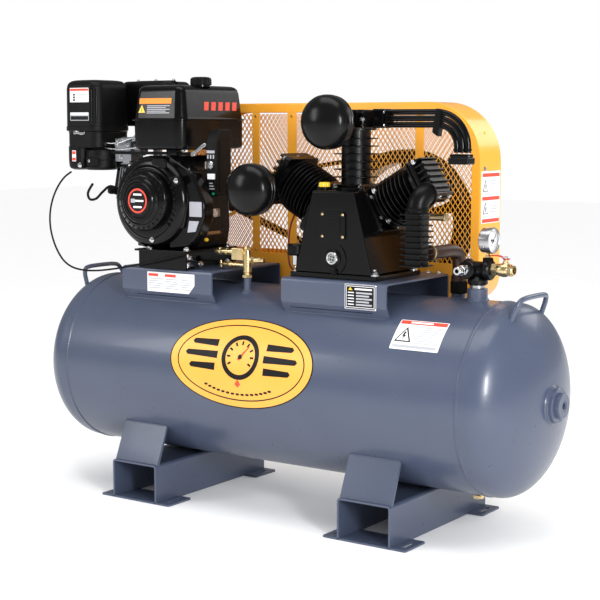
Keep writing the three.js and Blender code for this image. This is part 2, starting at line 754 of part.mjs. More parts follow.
function flywheel() {
  const { seat, flange, rim, hub, spokes, spokeWidth } = FLYWHEEL;
  const { x, z, shaft } = PUMP;
  const [y0, y1] = [BELT.y0 - 6, BELT.y1 + 6];
  const width = y1 - y0;
  const profile = [
    [seat - rim, 0],
    [flange, 0],
    [flange, 5.7],
    [seat, 5.7],
    [seat, width - 5.7],
    [flange, width - 5.7],
    [flange, width],
    [seat - rim, width],
    [seat - rim, 0],
  ];
  const pieces = [
    turned(profile, [x, y0, z], [0, 1, 0], 30),
    cylinder(hub, [x, y0 - 8, z], [0, 1, 0], width + 8, 12),
  ];
  for (let i = 0; i < spokes; i++) {
    const arm = new THREE.BoxGeometry(seat - rim / 2, 18, spokeWidth).translate((seat - rim / 2) / 2, 0, 0);
    arm.rotateY((2 * Math.PI * i) / spokes + 0.3);
    pieces.push(solid(arm.translate(x, (y0 + y1) / 2, z)));
  }
  return cut(join(...pieces), cylinder(shaft + GAP, [x, y0 - 20, z], [0, 1, 0], width + 40, 24));
}

function pumpCylinder(name) {
  const { fin, bore, foot, deck } = BORES[name];
  const start = foot + GAP;
  const wall = bore + 9;
  const profile = [[bore, start], [fin - 4, start], [fin - 4, start + 7], [wall, start + 7]];
  const pitch = (deck - start - 12) / CYLINDER_FINS;
  for (let i = 0; i < CYLINDER_FINS; i++) {
    const s = start + 7 + pitch * (i + 0.45);
    profile.push([wall, s], [fin, s], [fin, s + 4], [wall, s + 4]);
  }
  profile.push([wall, deck - 4], [fin - 6, deck - 4], [fin - 6, deck], [bore, deck], [bore, start]);
  return turned(profile, [PUMP.x, CYLINDER_Y, PUMP.z], lean(name), 14);
}

function pumpHead(name) {
  const { deck, head, halfHead } = BORES[name];
  const start = deck + GAP;
  const pieces = [acrossBore(name, halfHead, halfHead, 10, start, start + 18)];
  const ribs = 5;
  const long = 2 * halfHead - 8;
  for (let i = 0; i < ribs; i++) {
    const t = (i / (ribs - 1) - 0.5) * (long - 6);
    const rib = new THREE.BoxGeometry(long, 5, head - 16).translate(0, t, (head - 16) / 2);
    pieces.push(ontoBore(rib, name, start + 16));
  }
  pieces.push(acrossBore(name, halfHead - 18, halfHead - 12, 6, start + 16, start + head - 8));
  return join(...pieces);
}

// A round silencer filter facing the operator, with its short neck to the head.
function airFilter(name, neckLength) {
  const { x, z } = FILTERS[name];
  const { radius, front, ring: rear } = FILTER;
  const depth = rear - front;
  const profile = [
    [0, 0],
    [22, 1.5],
    [42, 7],
    [56, 16],
    [radius - 1, 30],
    [radius, 42],
    [radius, depth - 14],
    [radius - 3, depth - 12],
    [radius - 3, depth],
    [19, depth],
    [19, depth + neckLength],
    [0, depth + neckLength],
  ];
  return turned(profile, [x, front, z], [0, 1, 0], 20);
}

function leftFilter() {
  const neck = box(-62, -4, -119, CYLINDER_Y - BORES.left.halfHead - GAP, 812, 852);
  return join(airFilter("left", 12), neck);
}

// Three nested tubes from the centre head to the right head, joined by a block at each end.
function intercooler() {
  const top = 985;
  const inner = 455;
  const pieces = [];
  for (let i = 0; i < 3; i++) {
    const z = top + (i - 1) * 15;
    const x = inner + i * 15;
    const bend = 52 + i * 15;
    const path = [[272, -12, z], [320, -12, z], [x - bend, -12, z]];
    for (let k = 1; k <= 4; k++) {
      const angle = (k / 4) * (Math.PI / 2);
      path.push([x - bend + bend * Math.sin(angle), -12, z - bend + bend * Math.cos(angle)]);
    }
    path.push([x, -12, 905]);
    pieces.push(rod(path, 7, 6, 10));
  }
  pieces.push(box(246 + GAP, 276, -34, 8, 962, 1008));
  pieces.push(box(444, 496, -30, 6, 878, 908));
  return join(...pieces);
}

function aftercooler() {
  const pieces = [box(384, 440, -122, -78, 640, 772)];
  for (let i = 0; i < 8; i++) {
    const z = 643 + i * 16.8;
    pieces.push(box(373, 449, -132, -68, z, z + 5));
  }
  const elbow = [[414, -100, 768], [414, -100, 796], [416, -94, 814], [420, -82, 822], [424, -66, 824]];
  pieces.push(rod(elbow, 25, 12, 7));
  const headFace = CYLINDER_Y - BORES.right.halfHead - GAP;
  return cut(join(...pieces), box(350, 480, headFace, 0, 700, 900));
}

function dischargePipe() {
  const { x, y } = CHECK_PORT;
  const level = [[424, -67.6, 672], [424, -55, 672], [430, -20, 672], [436, 30, 672]];
  const pipe = rod([...level, [x, 52, 664], [x, y, 640], [x, y, 596]], 15, 8, 12);
  const floor = tankTopAt(y) + 14 + GAP;
  const nut = hexagon(40, [x, y, floor], [0, 0, 1], 30);
  return join(pipe, nut, cylinder(19, [x, y, floor + 29], [0, 0, 1], 16));
}

// ---- Belt drive ----
function beltLoop(extra) {
  const small = PULLEY.seat + BELT.clearance + extra;
  const big = FLYWHEEL.seat + BELT.clearance + extra;
  const [dx, dz] = [PUMP.x - ENGINE.x, PUMP.z - ENGINE.z];
  const heading = Math.atan2(dz, dx);
  const wrap = Math.PI / 2 + Math.asin((big - small) / Math.hypot(dx, dz));
  const loop = new THREE.Shape();
  loop.absarc(PUMP.x, PUMP.z, big, heading - wrap, heading + wrap, false);
  loop.absarc(ENGINE.x, ENGINE.z, small, heading + wrap, heading + 2 * Math.PI - wrap, false);
  return loop;
}

function driveBelts() {
  const body = alongY(beltLoop(BELT.thickness), BELT.y0, BELT.y1, 22);
  return cut(body, alongY(beltLoop(0), BELT.y0 - 1, BELT.y1 + 1, 22));
}

// ---- Belt guard ----
function guardOutline(inset) {
  const { x0, x1, bottom, top, corner, lowCorner } = GUARD;
  const low = lowCorner - inset;
  const high = corner - inset;
  return roundedRectangle(x0 + inset, x1 - inset, bottom + inset, top - inset, [low, low, high, high]);
}

// A face of the guard: a sheet border and posts around a thinner mesh web, with round shaft openings.
function guardFace(y0, y1, meshY, shaftHoles) {
  const inset = GUARD.sheet + GAP;
  const face = alongY(guardOutline(inset), y0, y1, 4);
  const { edge, meshBottom, web } = GUARD_FRAME;
  const { x0, x1, top, corner } = GUARD;
  const high = corner - edge;
  const window = roundedRectangle(x0 + edge, x1 - edge, meshBottom, top - edge, [8, 8, high, high]);
  const posts = GUARD_POSTS.map(([a, b]) => box(a, b, y0, y1, meshBottom - 2, top - 10));
  const mesh = alongY(window, meshY, meshY + web, 4);
  const rimmed = join(cut(face, alongY(window, y0 - 1, y1 + 1, 4)), ...posts, mesh);
  return cut(rimmed, ...shaftHoles);
}

function guardFront() {
  const holes = [
    cylinder(50, [ENGINE.x, GUARD.y0 - 5, ENGINE.z], [0, 1, 0], 20),
    cylinder(40, [PUMP.x, GUARD.y0 - 5, PUMP.z], [0, 1, 0], 20),
  ];
  return guardFace(GUARD.y0, GUARD.y0 + 3, GUARD.y0 + 1.2, holes);
}

function guardRear() {
  return guardFace(GUARD_REAR - 3, GUARD_REAR, GUARD_REAR - 2.4, []);
}

function guardBand() {
  const outside = alongY(guardOutline(0), GUARD.y0 + 1, GUARD_REAR - 1, 4);
  return cut(outside, alongY(guardOutline(GUARD.sheet), GUARD.y0 - 1, GUARD_REAR + 1, 4));
}

// ---- Outlet fittings ----
const OUTLET_Z = 634;

function outletTee() {
  const { x, top } = OUTLET;
  const stem = top + GAP;
  return join(
    cylinder(16, [x, 0, stem], [0, 0, 1], 12),
    cylinder(21, [x, 0, stem + 8], [0, 0, 1], 22),
    cylinder(20, [x - 30, 0, OUTLET_Z], [1, 0, 0], 66),
    cylinder(24, [x - 32, 0, OUTLET_Z], [1, 0, 0], 14),
    cylinder(24, [x + 22, 0, OUTLET_Z], [1, 0, 0], 16),
    cylinder(18, [x - 18, 0, OUTLET_Z], [0, -1, 0], 26),
    hexagon(22, [x + 26, 0, OUTLET_Z + 15], [0, 0, 1], 14),
  );
}

function gaugeCase() {
  const x = OUTLET.x + 26;
  const [back, face] = [x - 13, x + 15];
  const z = 703;
  const profile = [[0, 0], [28, 0], [31, 3], [31, 28], [27.5, 28], [27.5, 20], [0, 20]];
  return join(
    turned(profile, [back, 0, z], [1, 0, 0], 24),
    cylinder(5, [x, 0, OUTLET_Z + 29 + GAP], [0, 0, 1], z - OUTLET_Z - 29 - 29, 10),
    cylinder(3, [face - 9, 0, z], [1, 0, 0], 1.5, 8),
  );
}

function gaugeNeedle() {
  const x = OUTLET.x + 36;
  const pointer = outline([[-2.4, -9], [2.4, -9], [1, 20], [-1, 20]]);
  const turn = new THREE.Matrix4().makeRotationX(Math.PI - 0.75);
  const geometry = slab(pointer, 1.2, 2).applyMatrix4(
    new THREE.Matrix4().makeBasis(
      new THREE.Vector3(0, 1, 0),
      new THREE.Vector3(0, 0, 1),
      new THREE.Vector3(1, 0, 0),
    ),
  );
  return solid(geometry.applyMatrix4(turn).translate(x + 3, 0, 703));
}

function ballValve() {
  const x = OUTLET.x + 38 + GAP;
  const profile = [
    [9, 0],
    [15, 0],
    [15, 14],
    [13, 18],
    [16, 24],
    [16, 42],
    [12, 46],
    [12, 50],
    [14, 51],
    [14, 56],
    [9, 56],
    [9, 0],
  ];
  return join(
    turned(profile, [x, 0, OUTLET_Z + 2], [1, 0, 0], 14),
    cylinder(7, [x + 34, 0, OUTLET_Z + 14], [0, 0, 1], 12, 10),
  );
}

function valveLever() {
  const x = OUTLET.x + 72 + GAP;
  const z = OUTLET_Z + 26 + GAP;
  const side = outline([
    [x - 39, z + 6],
    [x - 12, z + 6],
    [x - 6, z],
    [x + 8, z],
    [x + 8, z + 3],
    [x - 5, z + 3],
    [x - 11, z + 9],
    [x - 39, z + 9],
  ]);
  return join(alongY(side, -6, 6), hexagon(9, [x, 0, z + 2], [0, 0, 1], 6));
}

function quickPlug() {
  const profile = [
    [5, 0],
    [13, 0],
    [13, 10],
    [9, 12],
    [9, 24],
    [12, 26],
    [12, 38],
    [10, 40],
    [10, 44],
    [5, 44],
    [5, 0],
  ];
  return turned(profile, [OUTLET.x - 18, -26 - GAP, OUTLET_Z], [0, -1, 0], 12);
}

// ---- Pilot valve and throttle cable ----
function pilotValve() {
  const { x, y, top } = PILOT;
  const start = top + GAP;
  const upperZ = 648;
  const lowerZ = 615;
  return join(
    cylinder(12.5, [x, y, start], [0, 0, 1], 6, 6),
    cylinder(11, [x, y, start + 5], [0, 0, 1], 66),
    box(x - 44, x - 8, y - 10, y + 10, 628, 658),
    turned(
      [[0, 0], [10, 0], [10, 8], [8.6, 10], [8.6, 40], [10, 42], [10, 50], [4.5, 54], [3.2, 62], [0, 62]],
      [x - 43, y, upperZ],
      [-1, 0, 0],
      12,
    ),
    cylinder(7.6, [x - 8, y, lowerZ], [-1, 0, 0], 46),
    cylinder(6.5, [x - 53, y, lowerZ], [-1, 0, 0], 22, 12),
    cylinder(8, [x + 8, y, 630], [1, 0, 0], 28),
    cylinder(5.5, [x + 35, y, 630], [1, 0, 0], 18, 10),
    cylinder(7, [x, y, start + 70], [0, 0, 1], 10, 10),
  );
}

function pilotToggle() {
  const { x, y } = PILOT;
  return join(
    cylinder(3, [x - 75 - GAP, y, 615], [-1, 0, 0], 8, 12),
    cylinder(3.4, [x - 84, y, 604], [0, 0, 1], 22, 12),
  );
}

// Route of the free throttle cable, from the pilot valve's spout to the underside of the air cleaner.
const CABLE_ROUTE = [
  [-203.4, -75, 648],
  [-209, -76, 648],
  [-216, -82, 648],
  [-220, -93, 648],
  [-220, -112, 647],
  [-219, -135, 647],
  [-219, -158, 646],
  [-229, -179, 643],
  [-250, -190, 639],
  [-284, -197, 630],
  [-326, -198, 619],
  [-385, -197, 607],
  [-447, -194, 596],
  [-510, -190, 588],
  [-568, -182, 586],
  [-618, -172, 592],
  [-655, -163, 607],
  [-685, -155, 633],
  [-706, -149, 663],
  [-719, -144, 695],
  [-723, -140, 727],
  [-720, -136, 757],
  [-711, -132, 785],
  [-697, -127, 811],
  [-683, -120, 830],
  [-672, -113, 840],
  [-668, -111, 843],
];
const CABLE_RADIUS = 2.5;
const CABLE_STEPS = 44;

add("tank_shell", "slate", tankShell());
add("tank_head_right", "slate", tankHead(1));
add("tank_head_left", "slate", tankHead(-1));
add("tank_handle_right", "slate", tankHandle(1));
add("tank_handle_left", "slate", tankHandle(-1));
add("foot_right", "slate", foot(FOOT.centres[0]));
add("foot_left", "slate", foot(FOOT.centres[1]));
add("pump_deck", "slate", deck(PUMP_DECK_X, 285));
add("engine_deck", "slate", deck(ENGINE_DECK_X, -300));
add("drain_valve", "brass", drainBody());
add("drain_knob", "brass", drainKnob());

add("engine_base", "black", engineBase());
add("engine_block", "iron", engineBlock());
add("engine_cylinder", "aluminium", engineCylinder());
add("engine_head", "aluminium", engineHead());
add("fan_housing", "black", fanHousing());
add("recoil_cover", "black", recoilCover());
add("recoil_grip", "plastic", recoilGrip());
add("engine_crankshaft", "steel", engineShaft());
add("engine_pulley", "iron", enginePulley());
add("fuel_tank", "black", fuelTank());
add("fuel_cap", "plastic", fuelCap());
add("air_cleaner_cover", "plastic", airCleanerCover());
add("air_cleaner_base", "plastic", airCleanerBase());
add("carburetor", "aluminium", carburetor());
add("muffler", "iron", muffler());
add("control_box", "plastic", controlBox());
add("key_switch", "steel", keySwitch());
add("throttle_lever", "steel", throttleLever());

add("pump_crankcase", "iron", pumpCase());
add("pump_cover", "iron", pumpCover());
add("sight_glass", "glass", sightGlass());
add("oil_cap", "yellow", oilCap());
add("pump_crankshaft", "steel", pumpShaft());
add("flywheel", "iron", flywheel());
for (const name of Object.keys(BORES)) {
  add(`cylinder_${name}`, "iron", pumpCylinder(name));
  add(`head_${name}`, "iron", pumpHead(name));
}
add("filter_centre", "plastic", airFilter("centre", 46));
add("filter_left", "plastic", leftFilter());
add("intercooler", "black", intercooler());
add("aftercooler", "iron", aftercooler());
add("discharge_pipe", "black", dischargePipe());

add("drive_belts", "rubber", driveBelts());
add("guard_front", "amber", guardFront());
add("guard_rear", "amber", guardRear());
add("guard_band", "amber", guardBand());

add("outlet_tee", "iron", outletTee());
add("gauge_case", "chrome", gaugeCase());
add("gauge_needle", "black", gaugeNeedle());
add("ball_valve", "brass", ballValve());
add("valve_lever", "red", valveLever());
add("quick_plug", "steel", quickPlug());
add("pilot_valve", "brass", pilotValve());
add("pilot_toggle", "brass", pilotToggle());
add("throttle_cable", "rubber", rod(CABLE_ROUTE, CABLE_RADIUS, 8, CABLE_STEPS));

export default group;
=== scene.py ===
import json
import math

import bmesh
import bpy
from mathutils import Matrix, Vector


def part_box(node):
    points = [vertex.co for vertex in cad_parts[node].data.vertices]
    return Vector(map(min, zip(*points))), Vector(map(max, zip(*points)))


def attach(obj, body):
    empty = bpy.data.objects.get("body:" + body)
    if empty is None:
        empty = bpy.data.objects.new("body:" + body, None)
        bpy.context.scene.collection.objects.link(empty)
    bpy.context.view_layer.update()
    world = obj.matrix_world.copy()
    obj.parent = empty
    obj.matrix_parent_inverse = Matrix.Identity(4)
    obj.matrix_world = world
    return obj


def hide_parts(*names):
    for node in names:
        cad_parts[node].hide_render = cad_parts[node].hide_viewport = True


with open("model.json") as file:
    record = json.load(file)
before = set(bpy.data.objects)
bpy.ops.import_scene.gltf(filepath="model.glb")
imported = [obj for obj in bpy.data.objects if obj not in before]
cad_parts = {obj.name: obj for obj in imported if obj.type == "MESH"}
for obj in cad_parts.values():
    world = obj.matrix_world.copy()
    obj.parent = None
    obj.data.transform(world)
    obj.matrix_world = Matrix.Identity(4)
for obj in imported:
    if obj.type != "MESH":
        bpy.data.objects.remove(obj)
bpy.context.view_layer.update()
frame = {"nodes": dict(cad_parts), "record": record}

# Lengths below are millimetres in the row frame, scaled to metres when a piece is finished.
MM = 0.001
TAU = 2 * math.pi
SHARP = math.radians(32)


def span(node):
    """A node's box as x0, x1, y0, y1, z0, z1."""
    low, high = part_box(node)
    return [value / MM for pair in zip(low, high) for value in pair]


# ---- Driving places, all read from the frame ----
SHELL = span("tank_shell")
BODY_OF = {node: body for body, nodes in frame["record"]["behaviour"]["bodies"].items() for node in nodes}
TANK_RADIUS = 228.5
TANK_Y = (SHELL[2] + SHELL[3]) / 2
TANK_Z = SHELL[4] + TANK_RADIUS
HALF_SHELL = SHELL[1]
HEAD_REACH = span("tank_head_right")[1]
FLY = span("flywheel")
PUMP_X, PUMP_Z = (FLY[0] + FLY[1]) / 2, (FLY[4] + FLY[5]) / 2
PULLEY = span("engine_pulley")
ENGINE_X, ENGINE_Z = (PULLEY[0] + PULLEY[1]) / 2, (PULLEY[4] + PULLEY[5]) / 2
PLANE_Y = TANK_Y - 15  # the pump cylinders' common plane


# ---- Camera ----
def make_camera():
    azimuth, elevation = math.radians(34.7), math.radians(6.9)
    back = Vector((
        math.sin(azimuth) * math.cos(elevation),
        -math.cos(azimuth) * math.cos(elevation),
        math.sin(elevation),
    ))
    data = bpy.data.cameras.new("camera")
    data.lens = 86.8
    data.sensor_width = 36
    data.clip_end = 60
    camera = bpy.data.objects.new("camera", data)
    camera.location = (2.0957, -3.0301, 0.9695)
    camera.rotation_mode = "QUATERNION"
    camera.rotation_quaternion = (-back).to_track_quat("-Z", "Y")
    bpy.context.scene.collection.objects.link(camera)
    bpy.context.scene.camera = camera


# ---- Materials ----
def noise(tree, place, scale, detail=3.0, roughness=0.5):
    node = tree.nodes.new("ShaderNodeTexNoise")
    node.inputs["Scale"].default_value = scale
    node.inputs["Detail"].default_value = detail
    node.inputs["Roughness"].default_value = roughness
    tree.links.new(place, node.inputs["Vector"])
    return node.outputs["Fac"]


def procedural(name, colour, rough, metallic=0.0, coat=0.0, mottle=0.08, spread=0.06,
               grain=900.0, bump=0.05, stretch=(1, 1, 1), patch=9.0, transmission=0.0, specular=0.5):
    """A surface whose tone, roughness and relief vary with noise at the scales given."""
    material = bpy.data.materials.new(name)
    material.use_nodes = True
    tree = material.node_tree
    shader = tree.nodes["Principled BSDF"]
    shader.inputs["Metallic"].default_value = metallic
    shader.inputs["Coat Weight"].default_value = coat
    shader.inputs["Specular IOR Level"].default_value = specular
    shader.inputs["Coat Roughness"].default_value = 0.08
    shader.inputs["Transmission Weight"].default_value = transmission
    coordinates = tree.nodes.new("ShaderNodeTexCoord")
    mapping = tree.nodes.new("ShaderNodeMapping")
    mapping.inputs["Scale"].default_value = stretch
    tree.links.new(coordinates.outputs["Object"], mapping.inputs["Vector"])
    place = mapping.outputs["Vector"]
    tone = tree.nodes.new("ShaderNodeValToRGB")
    tone.color_ramp.elements[0].position = 0.3
    tone.color_ramp.elements[1].position = 0.7
    tone.color_ramp.elements[0].color = [c * (1 - mottle) for c in colour] + [1]
    tone.color_ramp.elements[1].color = [min(1, c * (1 + mottle)) for c in colour] + [1]
    tree.links.new(noise(tree, place, patch, 5), tone.inputs["Fac"])
    tree.links.new(tone.outputs["Color"], shader.inputs["Base Color"])
    spread_node = tree.nodes.new("ShaderNodeMapRange")
    spread_node.inputs["To Min"].default_value = max(0.02, rough - spread)
    spread_node.inputs["To Max"].default_value = min(1, rough + spread)
    tree.links.new(noise(tree, place, patch * 7, 4), spread_node.inputs["Value"])
    tree.links.new(spread_node.outputs["Result"], shader.inputs["Roughness"])
    relief = tree.nodes.new("ShaderNodeBump")
    relief.inputs["Strength"].default_value = bump
    relief.inputs["Distance"].default_value = 0.0006
    tree.links.new(noise(tree, place, grain, 2, 0.6), relief.inputs["Height"])
    tree.links.new(relief.outputs["Normal"], shader.inputs["Normal"])
    return material


# Finish: colour (linear), roughness, then what differs from a plain smooth surface.
FINISHES = {
    "slate": dict(colour=(0.060, 0.076, 0.124), rough=0.30, coat=0.15, grain=420, bump=0.10, mottle=0.04),
    "weld": dict(colour=(0.058, 0.073, 0.119), rough=0.34, coat=0.12, grain=260, bump=0.5, mottle=0.06),
    "amber": dict(colour=(0.93, 0.40, 0.035), rough=0.30, coat=0.3, grain=500, bump=0.08, mottle=0.04),
    "mesh_amber": dict(colour=(0.88, 0.38, 0.035), rough=0.38, coat=0.15, grain=700, bump=0.2, mottle=0.1),
    "gloss_black": dict(colour=(0.002, 0.002, 0.0023), rough=0.19, specular=0.2, coat=0.06, grain=380,
                        bump=0.07, mottle=0.2),
    "satin_black": dict(colour=(0.0024, 0.0024, 0.0027), rough=0.36, specular=0.16, coat=0.02, grain=1300,
                        bump=0.16, mottle=0.2),
    "cast_black": dict(colour=(0.0024, 0.0024, 0.003), rough=0.29, specular=0.22, coat=0.05, grain=620,
                       bump=0.5, mottle=0.3),
    "plastic_black": dict(colour=(0.0035, 0.0035, 0.0038), rough=0.42, specular=0.18, grain=2600, bump=0.35,
                          mottle=0.15),
    "plastic_gloss": dict(colour=(0.003, 0.003, 0.0033), rough=0.24, specular=0.2, coat=0.04, grain=900,
                          bump=0.12, mottle=0.15),
    "rubber_black": dict(colour=(0.004, 0.004, 0.004), rough=0.62, specular=0.16, grain=1500, bump=0.3,
                         mottle=0.2),
    "cast_grey": dict(colour=(0.30, 0.31, 0.33), rough=0.42, metallic=0.9, grain=800, bump=0.4, mottle=0.15),
    "steel": dict(colour=(0.52, 0.52, 0.53), rough=0.28, metallic=1, grain=900, bump=0.15, stretch=(1, 1, 8)),
    "bright": dict(colour=(0.74, 0.75, 0.77), rough=0.14, metallic=1, grain=600, bump=0.06,
                   stretch=(1, 6, 1)),
    "brass": dict(colour=(0.80, 0.62, 0.33), rough=0.27, metallic=1, grain=700, bump=0.15, stretch=(9, 1, 1)),
    "aged_brass": dict(colour=(0.56, 0.42, 0.25), rough=0.36, metallic=1, grain=500, bump=0.3, mottle=0.2),
    "bronze_tube": dict(colour=(0.045, 0.021, 0.014), rough=0.36, metallic=0.3, grain=500, bump=0.2,
                        mottle=0.2),
    "red": dict(colour=(0.50, 0.012, 0.022), rough=0.30, coat=0.4, grain=500, bump=0.1),
    "wire_red": dict(colour=(0.16, 0.006, 0.008), rough=0.42, grain=900, bump=0.2, mottle=0.15),
    "yellow": dict(colour=(0.86, 0.56, 0.02), rough=0.33, coat=0.2, grain=1200, bump=0.12),
    "green": dict(colour=(0.0, 0.30, 0.12), rough=0.4, grain=1200, bump=0.1),
    "label_white": dict(colour=(0.83, 0.84, 0.86), rough=0.42, grain=2000, bump=0.03, mottle=0.02),
    "label_red": dict(colour=(0.78, 0.06, 0.03), rough=0.42, grain=2000, bump=0.03, mottle=0.04),
    "label_orange": dict(colour=(0.92, 0.26, 0.01), rough=0.42, grain=2000, bump=0.03, mottle=0.04),
    "label_amber": dict(colour=(0.90, 0.43, 0.060), rough=0.36, grain=2000, bump=0.03, mottle=0.03),
    "label_black": dict(colour=(0.007, 0.006, 0.007), rough=0.40, specular=0.25, grain=2000, bump=0.03,
                        mottle=0.1),
    "label_grey": dict(colour=(0.42, 0.43, 0.46), rough=0.45, grain=2000, bump=0.03, mottle=0.05),
    "label_silver": dict(colour=(0.50, 0.50, 0.56), rough=0.38, metallic=0.6, grain=900, bump=0.1,
                         mottle=0.06),
    "glass": dict(colour=(0.55, 0.58, 0.55), rough=0.06, coat=0.6, grain=600, bump=0.02, transmission=0.55),
}
made_finishes = {}


def finish_named(name):
    if name not in made_finishes:
        made_finishes[name] = procedural(name, **FINISHES[name])
    return made_finishes[name]


# ---- Outlines, as lists of (a, b) ----
def rounded(a0, a1, b0, b1, radii, steps=5):
    """A rectangle with round corners; radii run from the low corner anticlockwise."""
    r = radii if isinstance(radii, (list, tuple)) else [radii] * 4
    centres = [(a0 + r[0], b0 + r[0]), (a1 - r[1], b0 + r[1]), (a1 - r[2], b1 - r[2]), (a0 + r[3], b1 - r[3])]
    points = []
    for corner, (a, b) in enumerate(centres):
        for i in range(steps + 1):
            angle = math.pi + (corner + i / steps) * math.pi / 2
            points.append((a + r[corner] * math.cos(angle), b + r[corner] * math.sin(angle)))
    return points


def ellipse(a, b, ra, rb, steps=32):
    return [(a + ra * math.cos(TAU * i / steps), b + rb * math.sin(TAU * i / steps)) for i in range(steps)]


def rectangle(a0, a1, b0, b1):
    return [(a0, b0), (a1, b0), (a1, b1), (a0, b1)]


def fine(outline, step=8.0):
    """An outline with its long edges cut into steps."""
    points = []
    for (a, b), (c, d) in zip(outline, outline[1:] + outline[:1]):
        parts = max(1, round(math.hypot(c - a, d - b) / step))
        points += [(a + (c - a) * k / parts, b + (d - b) * k / parts) for k in range(parts)]
    return points


def place_on(axis, a, b, s):
    return Vector({"X": (s, a, b), "Y": (a, s, b), "Z": (a, b, s)}[axis])


def basis(direction):
    along = Vector(direction).normalized()
    up = Vector((0, 0, 1)) if abs(along.z) < 0.9 else Vector((0, 1, 0))
    across = up.cross(along).normalized()
    return across, along.cross(across), along


def smooth_path(points, steps=6):
    """A centripetal Catmull-Rom curve through the points."""
    p = [Vector(q) for q in points]
    p = [2 * p[0] - p[1], *p, 2 * p[-1] - p[-2]]
    out = []
    for p0, p1, p2, p3 in zip(p, p[1:], p[2:], p[3:]):
        d0, d1, d2 = ((b - a).length ** 0.5 for a, b in ((p0, p1), (p1, p2), (p2, p3)))
        m1 = ((p1 - p0) / d0 - (p2 - p0) / (d0 + d1) + (p2 - p1) / d1) * d1
        m2 = ((p2 - p1) / d1 - (p3 - p1) / (d1 + d2) + (p3 - p2) / d2) * d1
        for i in range(steps):
            t = i / steps
            a, b = 2 * t**3 - 3 * t**2 + 1, t**3 - 2 * t**2 + t
            out.append(a * p1 + b * m1 + (1 - a) * p2 + (t**3 - t**2) * m2)
    return [*out, p[-2]]


# ---- Surfaces that labels lie on: (a, b, lift) to a point ----
def flat(origin, across, up):
    o, u, v = Vector(origin), Vector(across).normalized(), Vector(up).normalized()
    n = u.cross(v)
    return lambda a, b, lift: o + u * a + v * b + n * lift


def tank_side(x, degrees):
    """The receiver's front, from a point at x and an angle above its axis."""
    def at(a, b, lift):
        angle = math.radians(degrees) + b / TANK_RADIUS
        r = TANK_RADIUS + lift
        return Vector((x + a, TANK_Y - r * math.cos(angle), TANK_Z + r * math.sin(angle)))
    return at


